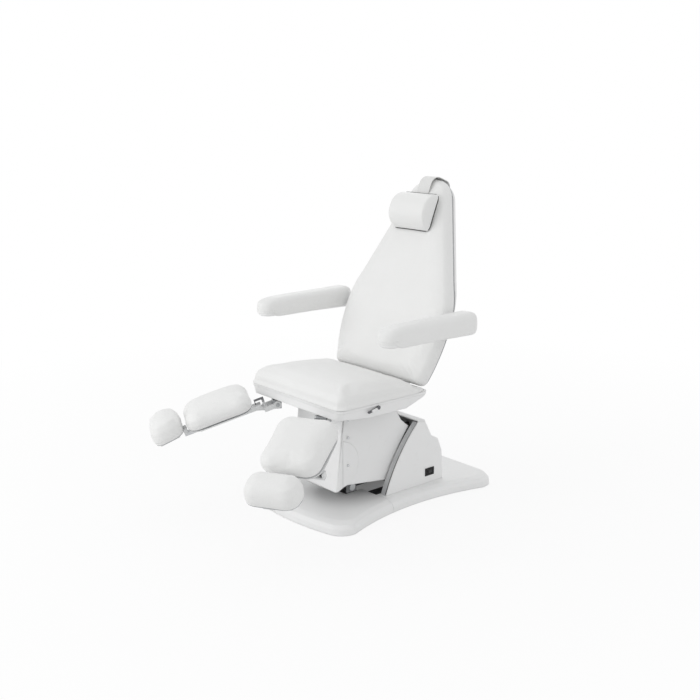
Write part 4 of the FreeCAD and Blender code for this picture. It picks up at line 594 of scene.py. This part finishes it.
def shaped(u, v, h, half_u, half_v, full, outer, crown, draw_in, spread, taper, square, roll):
    """Crowns the skin, rolls its rim, draws in its sides and tapers its far outer corner.

    u and v run along the two sides of the flat base from its middle, and h up from it.
    """
    su, sv = u / half_u, v / half_v
    rise = h / full
    h = h + crown * (1 - su ** 2) * (1 - sv ** 2) * rise
    h = h - roll * (1 - (1 - su ** ROLL_POWER) * (1 - sv ** ROLL_POWER)) * rise
    corners = 1 + square * su ** 2 * sv ** 2
    low = 1.0 - rise * DRAWN_SHARE
    foot = spread * np.clip(1.0 - h / FOOT_HEIGHT, 0.0, 1.0)
    u = u * corners - np.sign(u) * draw_in * abs(su) ** 3 * (1 - sv ** 2) * low + foot * su
    v = v * corners - np.sign(v) * draw_in * abs(sv) ** 3 * (1 - su ** 2) * low + foot * sv
    near, slope = FAR_CORNER_SHARES
    far = np.clip(near - slope * sv, 0.0, 1.0) ** FAR_CORNER_POWER
    u = u - outer * taper * np.clip(outer * su, 0.0, 1.0) ** 2 * far
    return u, v, h


def cushion(node, body, voxel, shrink, cap, crown, draw_in, seam, grow=0.0, spread=0.0,
            taper=0.0, square=0.0, roll=0.0, reach=None):
    """One upholstered piece over its solid: remeshed, swollen, crowned, its sides drawn in.

    voxel is the size of the remeshed faces, shrink what the skin gives up before it swells, cap the
    most that it swells and crown what its middle gains. grow widens it all round, spread fills out
    its tucked foot, taper narrows its far outer corner, square fills its corners in plan, roll
    lowers its top towards the rim and reach moves its finished points once more.
    """
    source = NODES[node].data
    centre, along, across, up = local_frame(source)
    real = points_of(source) - centre
    real_u, real_v, real_h = real @ along, real @ across, real @ up
    obj = placed(node + "_cover", source.copy())
    mesh = remeshed(obj, voxel)
    points = points_of(mesh)
    normals = np.array([vert.normal for vert in mesh.vertices])
    height = (points - centre) @ up
    free = np.clip(height / (voxel * FREE_VOXELS), 0.0, 1.0)[:, None]
    put_points(mesh, points - normals * shrink * free)
    inflated(obj, height < voxel * GLUED_VOXELS, cap)
    mesh = smooth(obj)
    local = points_of(mesh) - centre
    u, v, h = shaped(
        stretched_to(local @ along, real_u.min() - grow, real_u.max() + grow),
        stretched_to(local @ across, real_v.min() - grow, real_v.max() + grow),
        stretched_to(local @ up, 0.0, real_h.max()),
        abs(real_u).max(), abs(real_v).max(), real_h.max(), 1 if centre[0] > 0 else -1,
        crown, draw_in, spread, taper, square, roll)
    points = centre + np.outer(u, along) + np.outer(v, across) + np.outer(h, up)
    put_points(mesh, reach(points) if reach else points)
    finished(obj, body, "white_vinyl", finer=True)
    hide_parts(node)
    sewn(obj, node, body, centre, up, *seam)


def stitches_mesh(line, up):
    """Short raised stitches along a closed line."""
    bm = bmesh.new()
    closed, reach = measured(line)
    count = int(reach[-1] / STITCH_STEP)
    turns = np.linspace(0.0, 2 * np.pi, STITCH_SIDES, endpoint=False)
    places = np.array([place for place, _ in STITCH_SHARES]) * STITCH_LENGTH
    for i in range(count):
        spots = spots_at(closed, reach, np.mod(i * reach[-1] / count + places, reach[-1]))
        way = spots[2] - spots[1]
        out = np.cross(way / np.linalg.norm(way), up)
        lofted(bm, [[spot + STITCH_RADIUS * wide * (np.cos(t) * out + np.sin(t) * up) for t in turns]
                    for spot, (_, wide) in zip(spots, STITCH_SHARES)])
    return mesh_of(bm, "stitches")


def sewn(cover, node, body, centre, up, foot, row, radius, slot):
    """Piping round the foot of a cushion and a row of stitches above it."""
    line = evened(ring_at(cover.data, centre + up * foot, up), PIPING_SPACING)
    finished(placed(node + "_piping", tube_mesh("piping", line, radius, up)), body, slot)
    line = evened(ring_at(cover.data, centre + up * row, up), STITCH_SPACING)
    finished(placed(node + "_stitches", stitches_mesh(line, up)), body, "white_vinyl")


BACK_FOOT_Y = -0.003  # front lower edge of the back at its most upright
BACK_FOOT_Z = 0.529
BACK_FOOT_SLOPE = 0.32
BACK_FOOT_PLAY = 0.004
TAIL_START = -0.045
TAIL_LENGTH = 0.041
TAIL_REACH = 0.040


def tucked(points):
    """Draws the tail of the seat cushion back under the foot of the back."""
    y, z = points[:, 1], points[:, 2]
    near = np.clip((y - TAIL_START) / TAIL_LENGTH, 0.0, 1.0) ** 2
    edge = BACK_FOOT_Y + (BACK_FOOT_Z - z) / BACK_FOOT_SLOPE
    moved = points.copy()
    moved[:, 1] = y + near * np.clip(edge + BACK_FOOT_PLAY, 0.0, TAIL_REACH)
    return moved


def upholster():
    """Covers all seven cushions; a seam is the heights of piping and stitches, a radius and a slot."""
    cushion("seat_cushion", "seat", voxel=0.008, shrink=0.003, cap=0.009, crown=0.019, draw_in=0.001,
            seam=(0.0035, 0.022, 0.0028, "white_vinyl"), grow=0.001, spread=0.009, roll=0.012, reach=tucked)
    # The grey and black piping of the back, head, calf and foot cushions is painted shade: a dark band along
    # their foot where shade falls against the shell and the trays.
    cushion("back_cushion", "back", voxel=0.008, shrink=0.003, cap=0.009, crown=0.003, draw_in=0.002,
            seam=(0.006, 0.020, 0.0017, "grey_plastic"), grow=0.001)
    cushion("head_cushion", "head", voxel=0.005, shrink=0.002, cap=0.005, crown=0.001, draw_in=0.001,
            seam=(0.004, 0.012, 0.0028, "black_plastic"))
    for side in SIDES:
        cushion(f"calf_cushion_{side}", f"leg_{side}", voxel=0.006, shrink=0.002, cap=0.007, crown=0.003,
                draw_in=0.001, seam=(0.004, 0.014, 0.0017, "grey_plastic"), grow=0.002, spread=0.004,
                taper=0.012, square=0.05)
        cushion(f"foot_cushion_{side}", f"foot_{side}", voxel=0.005, shrink=0.002, cap=0.006, crown=0.003,
                draw_in=0.001, seam=(0.004, 0.014, 0.0017, "grey_plastic"), spread=0.004)


upholster()

# Armrests

ARM_MIDDLE = 0.391
ARM_HALF = 0.0462
ARM_FRONT = -0.3068
ARM_REAR = 0.2032
ARM_END_RADIUS = 0.0455
ARM_TOP = 0.8360
ARM_LOW = 0.7545
ARM_DEPTH = 0.080
ARM_TOP_ROUND = 0.027
ARM_LOW_ROUND = 0.009
ARM_SIDE_SWELL = 0.0012
ARM_CROWN = 0.003
ARM_BOW = 0.0045
ARM_BOW_MIDDLE = -0.050
ARM_BOW_REACH = 0.250
ARM_LIP = 0.0175
ARM_LIP_END = -0.225
ARM_LIP_LENGTH = 0.060
ARM_WAIST_START = 0.115  # where the inner side draws in past the collar
ARM_WAIST_LENGTH = 0.040
ARM_WAIST_SHARE = 0.02
ARM_REAR_RISE = 0.020
ARM_NOSE_DROP = 0.034
ARM_NOSE_LENGTH = 0.105
ARM_NOSE_POWER = 2.2
ARM_REAR_DROP = 0.038
ARM_REAR_LENGTH = 0.060
ARM_REAR_POWER = 2.4
ARM_TIP_SHARE = 0.02
ARM_SEAM_HEIGHT = 0.7865
ARM_SEAM_END = -0.255
ARM_SEAM_RADIUS = 0.0018


def arm_section(low):
    """Half-width and height pairs round one section of an armrest, from its low middle."""
    low_flat, top_flat = ARM_HALF - ARM_LOW_ROUND, ARM_HALF - ARM_TOP_ROUND
    start, end = low + ARM_LOW_ROUND, ARM_TOP - ARM_TOP_ROUND
    points = [(share * low_flat, low) for share in np.linspace(0.0, 1.0, 5, endpoint=False)]
    points += arc(low_flat, start, ARM_LOW_ROUND, -90.0, 0.0, 5)
    for share in np.linspace(0.0, 1.0, 6)[1:-1]:
        points.append((ARM_HALF + ARM_SIDE_SWELL * np.sin(np.pi * share), start + (end - start) * share))
    points += arc(top_flat, end, ARM_TOP_ROUND, 0.0, 90.0, 9)
    points += [((1 - share) * top_flat, ARM_TOP) for share in np.linspace(0.0, 1.0, 5)[1:]]
    middle = (low + ARM_TOP) / 2
    right = [(x, z + ARM_CROWN * (1 - (x / ARM_HALF) ** 2) * (z > middle)) for x, z in points]
    return right + [(-x, z) for x, z in right[-2:0:-1]]


def arm_stations():
    """Places of the sections along an armrest, closer together round its two ends."""
    turns = np.radians(np.linspace(90.0, 0.0, 12))
    ends = [ARM_END_RADIUS * (1 - np.sin(t)) for t in turns]
    middle = np.linspace(ARM_FRONT + ends[-1], ARM_REAR - ends[-1], 44)[1:-1]
    return [ARM_FRONT + end for end in ends] + list(middle) + [ARM_REAR - end for end in ends[::-1]]


def arm_ring(y, side):
    """One section of an armrest at y: narrowed and dropped at its ends, bowed along its middle."""
    inner_front, inner_rear = ARM_FRONT + ARM_END_RADIUS, ARM_REAR - ARM_END_RADIUS
    into = max(0.0, inner_front - y, y - inner_rear) / ARM_END_RADIUS
    narrow = max(ARM_TIP_SHARE, np.sqrt(max(0.0, 1.0 - into ** 2)))
    from_middle = y - ARM_BOW_MIDDLE
    bow = ARM_BOW * np.sign(from_middle) * (from_middle / ARM_BOW_REACH) ** 2
    nose = np.clip(1 - (y - ARM_FRONT) / ARM_NOSE_LENGTH, 0.0, 1.0)
    tail = np.clip(1 - (ARM_REAR - y) / ARM_REAR_LENGTH, 0.0, 1.0)
    drop = ARM_NOSE_DROP * (1 - np.sqrt(1 - nose ** ARM_NOSE_POWER))
    drop += ARM_REAR_DROP * (1 - np.sqrt(1 - tail ** ARM_REAR_POWER))
    lip = np.clip((ARM_LIP_END - y) / ARM_LIP_LENGTH, 0.0, 1.0)
    low = ARM_LOW + ARM_LIP * lip ** 2 * (3 - 2 * lip) + ARM_REAR_RISE * into ** 2 * (y > 0)
    waist = 1 - ARM_WAIST_SHARE * np.clip((y - ARM_WAIST_START) / ARM_WAIST_LENGTH, 0.0, 1.0)
    return [(side * (ARM_MIDDLE + x * (1 if x > 0 else waist) * narrow), y,
             z + (bow - drop) * (z - low) / ARM_DEPTH)
            for x, z in arm_section(low)]


def arm_cover(name, side):
    """Upholstered armrest: one soft bowed form drawn down over its shell, with a lip at the nose."""
    bm = bmesh.new()
    lofted(bm, [arm_ring(y, side) for y in arm_stations()])
    obj = placed(f"armrest_pad_{name}_cover", mesh_of(bm, "armrest"))
    finished(obj, f"arm_{name}", "white_vinyl", finer=True)
    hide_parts(f"armrest_pad_{name}")
    line = evened(ring_at(obj.data, UP * ARM_SEAM_HEIGHT, UP), STITCH_SPACING)
    line = line[line[:, 1] < ARM_SEAM_END]
    turn = np.arctan2(line[:, 0] - side * ARM_MIDDLE, ARM_SEAM_END - line[:, 1])
    seam = tube_mesh("seam", line[np.argsort(turn)], ARM_SEAM_RADIUS, UP, closed=False, sides=6)
    finished(placed(f"armrest_seam_{name}", seam), f"arm_{name}", "white_vinyl")


for name, side in SIDES.items():
    arm_cover(name, side)

# Head strap, in the frame of the back: depth through it and height up along it

BACK_Y = 0.013
BACK_Z = 0.566
BACK_LEAN = radians(22.0)
STRAP_HALF = 0.035
STRAP_THICK = 0.0023
STRAP_FRONT = -0.0155
STRAP_REAR = 0.1015
STRAP_TOP = 0.8514
STRAP_START = 0.596
STRAP_END = 0.640
STRAP_FRONT_TURN = 0.0462
STRAP_REAR_TURN = 0.0292
STRAP_FACE_SHARES = (  # across the half-width and out from the middle of the thickness
    (-1.0, 0.25), (-0.985, 0.5), (-0.90, 0.56), (-0.86, 0.40), (-0.45, 0.42), (0.0, 0.44),
    (0.45, 0.42), (0.86, 0.40), (0.90, 0.56), (0.985, 0.5), (1.0, 0.25))
STRAP_BACK_SHARE = -0.45


def back_point(x, depth, height):
    """A point of the reclined back, given across it, through it and up along it."""
    c, s = np.cos(BACK_LEAN), np.sin(BACK_LEAN)
    return x, BACK_Y + depth * c + height * s, BACK_Z - depth * s + height * c


def strap_line():
    """Middle line of the strap as depth, height and the angle of its outer side."""
    start, end = STRAP_FRONT + STRAP_FRONT_TURN, STRAP_REAR - STRAP_REAR_TURN
    front_top, rear_top = STRAP_TOP - STRAP_FRONT_TURN, STRAP_TOP - STRAP_REAR_TURN
    line = [(STRAP_FRONT, height, 180.0) for height in np.linspace(STRAP_START, front_top, 16)]
    turn = zip(arc(start, front_top, STRAP_FRONT_TURN, 180.0, 90.0, 12), np.linspace(180.0, 90.0, 12))
    line += [(*place, angle) for place, angle in turn][1:]
    line += [(start + (end - start) * share, STRAP_TOP, 90.0) for share in (0.25, 0.5, 0.75)]
    turn = zip(arc(end, rear_top, STRAP_REAR_TURN, 90.0, 0.0, 10), np.linspace(90.0, 0.0, 10))
    line += [(*place, angle) for place, angle in turn]
    return line + [(STRAP_REAR, height, 0.0) for height in np.linspace(rear_top, STRAP_END, 16)[1:]]


def strap():
    """Woven strap over the top of the back, with folded hems and a raised ridge beside each."""
    face = [(x * STRAP_HALF, lift * STRAP_THICK) for x, lift in STRAP_FACE_SHARES]
    profile = face + [(x, STRAP_THICK * STRAP_BACK_SHARE) for x, _ in face[::-1]]
    rings = []
    for depth, height, angle in strap_line():
        c, s = np.cos(radians(angle)), np.sin(radians(angle))
        rings.append([back_point(x, depth + c * lift, height + s * lift) for x, lift in profile])
    bm = bmesh.new()
    lofted(bm, rings)
    obj = placed("head_strap_band", mesh_of(bm, "strap"))
    finished(obj, "back", "white_strap")
    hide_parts("head_strap")


strap()

# Knobs and grips

SHARP = radians(35.0)


def turned(name, profile, place, axis, body, slot, sides, lobes=0, depth=0.0):
    """A turned piece: radius, reach and grip triples swept round an axis.

    Where the grip is above 0, as many lobes as asked for are pressed in by a share of depth.
    """
    axis = Vector(axis).normalized()
    aside = axis.orthogonal().normalized()
    other = axis.cross(aside)
    turns = np.linspace(0.0, 2 * np.pi, sides, endpoint=False)
    rings = []
    for radius, reach, grip in profile:
        start = Vector(place) + axis * reach
        rings.append([start + (aside * np.cos(t) + other * np.sin(t))
                      * (radius - grip * depth * (0.5 - 0.5 * np.cos(lobes * t))) for t in turns])
    bm = bmesh.new()
    lofted(bm, rings)
    obj = finished(placed(name, mesh_of(bm, name)), body, slot)
    obj.data.set_sharp_from_angle(angle=SHARP)


HUB_X = 0.152
HUB_Y = -0.397
HUB_Z = 0.440
LEG_TURNS = {"left": (30.0, 24.0), "right": (28.0, 18.0)}  # swing and drop of each leg rest
CLAMP_CHEEK_INNER = 0.116
CLAMP_MIDDLE = -0.320
CLAMP_KNOB_RISE = 0.024
KNOB_LOBES = 10
KNOB_LOBE_DEPTH = 0.0012
KNOB_SIDES = 60
KNOB_PROFILE = (
    (0.0035, -0.0005, 0), (0.0035, 0.0030, 0), (0.0078, 0.0032, 0.4), (0.0088, 0.0042, 1),
    (0.0088, 0.0125, 1), (0.0080, 0.0138, 0.6), (0.0050, 0.0142, 0), (0.0045, 0.0134, 0))


def clamp_knob(name, side):
    """Black knob on the inner face of the clamp's end cheek, in the turned frame of its leg rest."""
    swing, drop = LEG_TURNS[name]
    turn = Matrix.Rotation(radians(side * swing), 4, "Z") @ Matrix.Rotation(radians(drop), 4, "X")
    spot = turn @ Vector((side * CLAMP_CHEEK_INNER, CLAMP_MIDDLE, CLAMP_KNOB_RISE))
    spot += Vector((side * HUB_X, HUB_Y, HUB_Z))
    inward = turn @ Vector((-side, 0.0, 0.0))
    turned(f"clamp_knob_{name}", KNOB_PROFILE, spot, inward, f"leg_{name}", "black_plastic",
           KNOB_SIDES, KNOB_LOBES, KNOB_LOBE_DEPTH)


for name, side in SIDES.items():
    clamp_knob(name, side)

LEVER_PIVOT = (0.3024, -0.231, 0.491)
LEVER_FALL = radians(12.0)
GRIP_SIDES = 24
GRIP_PROFILE = (
    (0.0046, 0.0120, 0), (0.0051, 0.0130, 0), (0.0053, 0.0180, 0), (0.0053, 0.0330, 0),
    (0.0051, 0.0380, 0), (0.0046, 0.0390, 0))
turned("seat_lever_grip", GRIP_PROFILE, LEVER_PIVOT, (0.0, -np.cos(LEVER_FALL), -np.sin(LEVER_FALL)),
       "seat_lever", "white_moulding", GRIP_SIDES)

# Sealing beads

BEAD_RADIUS = 0.0022
BEAD_LOW = 0.053
BEAD_HIGH = 0.329
BEAD_POINTS = 30
BEAD_INSET = 0.0012
BEAD_EDGE = 0.004


def sealing_bead(name, side):
    """Black rubber bead down the front edge of a grey strip of the housing."""
    mesh = NODES[f"housing_trim_{name}"].data
    line = []
    for z in np.linspace(BEAD_LOW, BEAD_HIGH, BEAD_POINTS):
        ring = ring_at(mesh, UP * z, UP)
        widths = abs(ring[:, 0])
        outer = ring[widths > widths.max() - BEAD_EDGE]
        line.append((side * (widths.max() - BEAD_INSET), outer[:, 1].min() + BEAD_INSET / 2, z))
    tube = tube_mesh("bead", np.array(line), BEAD_RADIUS, np.array((1.0, 0.0, 0.0)), closed=False)
    finished(placed(f"housing_bead_{name}", tube), "base", "black_plastic")


for name, side in SIDES.items():
    sealing_bead(name, side)

# Floor

FLOOR_HALF = 15.0
FLOOR_GAP = 0.0006
FLOOR_NEAR = 0.7  # within this radius the floor shows the shadow best
FLOOR_FAR = 3.2  # beyond this one it is as white as the backdrop
FLOOR_GLOW = 0.86
PLINTH_ROOM = (0.20, 0.40)  # within the plinth the floor is plain and dark
PLINTH_ROOM_EDGE = 1.15
PLINTH_ROOM_GLOW = 0.15


def plain_floor():
    """Pale floor that keeps the shadow of the object but is nearly white to the camera."""
    s = Shade("pale_floor_finish", roughness=0.85)
    s.colour(s.mixed(s.noise(1.5, 3.0), (0.80, 0.80, 0.80), (0.83, 0.83, 0.83)))
    glow = s.node("ShaderNodeEmission", Color=(1.0, 1.0, 1.0, 1.0), Strength=1.0)
    rays = s.node("ShaderNodeLightPath").outputs
    seen = s.maths("MAXIMUM", rays["Is Camera Ray"], rays["Is Glossy Ray"])
    seen = s.maths("MAXIMUM", seen, rays["Is Transmission Ray"])
    share = s.span(s.length(s.place), FLOOR_NEAR, FLOOR_FAR, FLOOR_GLOW, 1.0)
    room = s.length(s.stretched((1 / PLINTH_ROOM[0], 1 / PLINTH_ROOM[1], 1.0)))
    share = s.maths("MULTIPLY", share, s.span(room, 1.0, PLINTH_ROOM_EDGE, PLINTH_ROOM_GLOW, 1.0))
    blend = s.node("ShaderNodeMixShader")
    s.link(s.maths("MULTIPLY", seen, share), blend.inputs["Fac"])
    s.link(s.shader.outputs["BSDF"], blend.inputs[1])
    s.link(glow.outputs["Emission"], blend.inputs[2])
    s.link(blend.outputs["Shader"], s.out.inputs["Surface"])
    return s.done()


def floor():
    corners = [(x * FLOOR_HALF, y * FLOOR_HALF, -FLOOR_GAP) for x, y in ((-1, -1), (1, -1), (1, 1), (-1, 1))]
    mesh = bpy.data.meshes.new("floor")
    mesh.from_pydata(corners, [], [(0, 1, 2, 3)])
    mesh.materials.append(plain_floor())
    obj = placed("floor", mesh)


# Light: name, place, target, size in metres and power in watts of each lamp

LAMPS = (
    ("key", (-1.6, -4.2, 2.2), (0.0, 0.0, 0.6), 2.6, 62.0),
    ("fill", (3.8, 0.2, 1.7), (0.0, 0.0, 0.5), 2.6, 10.0),
    ("top", (0.0, 0.4, 4.2), (0.0, 0.0, 0.5), 3.0, 9.0),
    ("back", (-2.8, 2.6, 2.6), (0.0, 0.0, 0.7), 2.2, 14.0),
)
AMBIENT_COLOUR = (0.99, 0.995, 1.0, 1.0)
AMBIENT_STRENGTH = 0.78
BACKDROP_COLOUR = (1.0, 1.0, 1.0, 1.0)
BACKDROP_STRENGTH = 1.0


def lamp(name, place, target, size, power):
    light = bpy.data.lights.new(name, "AREA")
    light.shape = "SQUARE"
    light.size = size
    light.energy = power
    obj = placed(name, light)
    obj.location = place
    obj.rotation_euler = (Vector(target) - Vector(place)).to_track_quat("-Z", "Y").to_euler()


def world():
    """White to the camera, and a soft even light to everything else."""
    made = bpy.data.worlds.new("studio")
    bpy.context.scene.world = made
    made.use_nodes = True
    nodes, links = made.node_tree.nodes, made.node_tree.links
    nodes.clear()
    blend = nodes.new("ShaderNodeMixShader")
    shades = ((AMBIENT_COLOUR, AMBIENT_STRENGTH), (BACKDROP_COLOUR, BACKDROP_STRENGTH))
    for socket, (colour, strength) in enumerate(shades, 1):
        shade = nodes.new("ShaderNodeBackground")
        shade.inputs["Color"].default_value = colour
        shade.inputs["Strength"].default_value = strength
        links.new(shade.outputs["Background"], blend.inputs[socket])
    rays = nodes.new("ShaderNodeLightPath")
    either = nodes.new("ShaderNodeMath")
    either.operation = "MAXIMUM"
    links.new(rays.outputs["Is Camera Ray"], either.inputs[0])
    links.new(rays.outputs["Is Transmission Ray"], either.inputs[1])
    links.new(either.outputs["Value"], blend.inputs["Fac"])
    links.new(blend.outputs["Shader"], nodes.new("ShaderNodeOutputWorld").inputs["Surface"])


# Camera at the viewing angle of the photograph

CAMERA_PLACE = (3.170, -2.840, 1.670)
CAMERA_PITCH = 76.3
CAMERA_TURN = 49.41
CAMERA_LENS = 52.8
CAMERA_SENSOR = 36.0
CAMERA_REACH = 60.0


def camera():
    data = bpy.data.cameras.new("camera")
    data.lens = CAMERA_LENS
    data.sensor_width = CAMERA_SENSOR
    data.clip_end = CAMERA_REACH
    obj = placed("camera", data)
    obj.location = CAMERA_PLACE
    obj.rotation_euler = (radians(CAMERA_PITCH), 0.0, radians(CAMERA_TURN))
    bpy.context.scene.camera = obj


floor()
world()
camera()
for values in LAMPS:
    lamp(*values)

bpy.context.scene.view_settings.view_transform = "Standard"
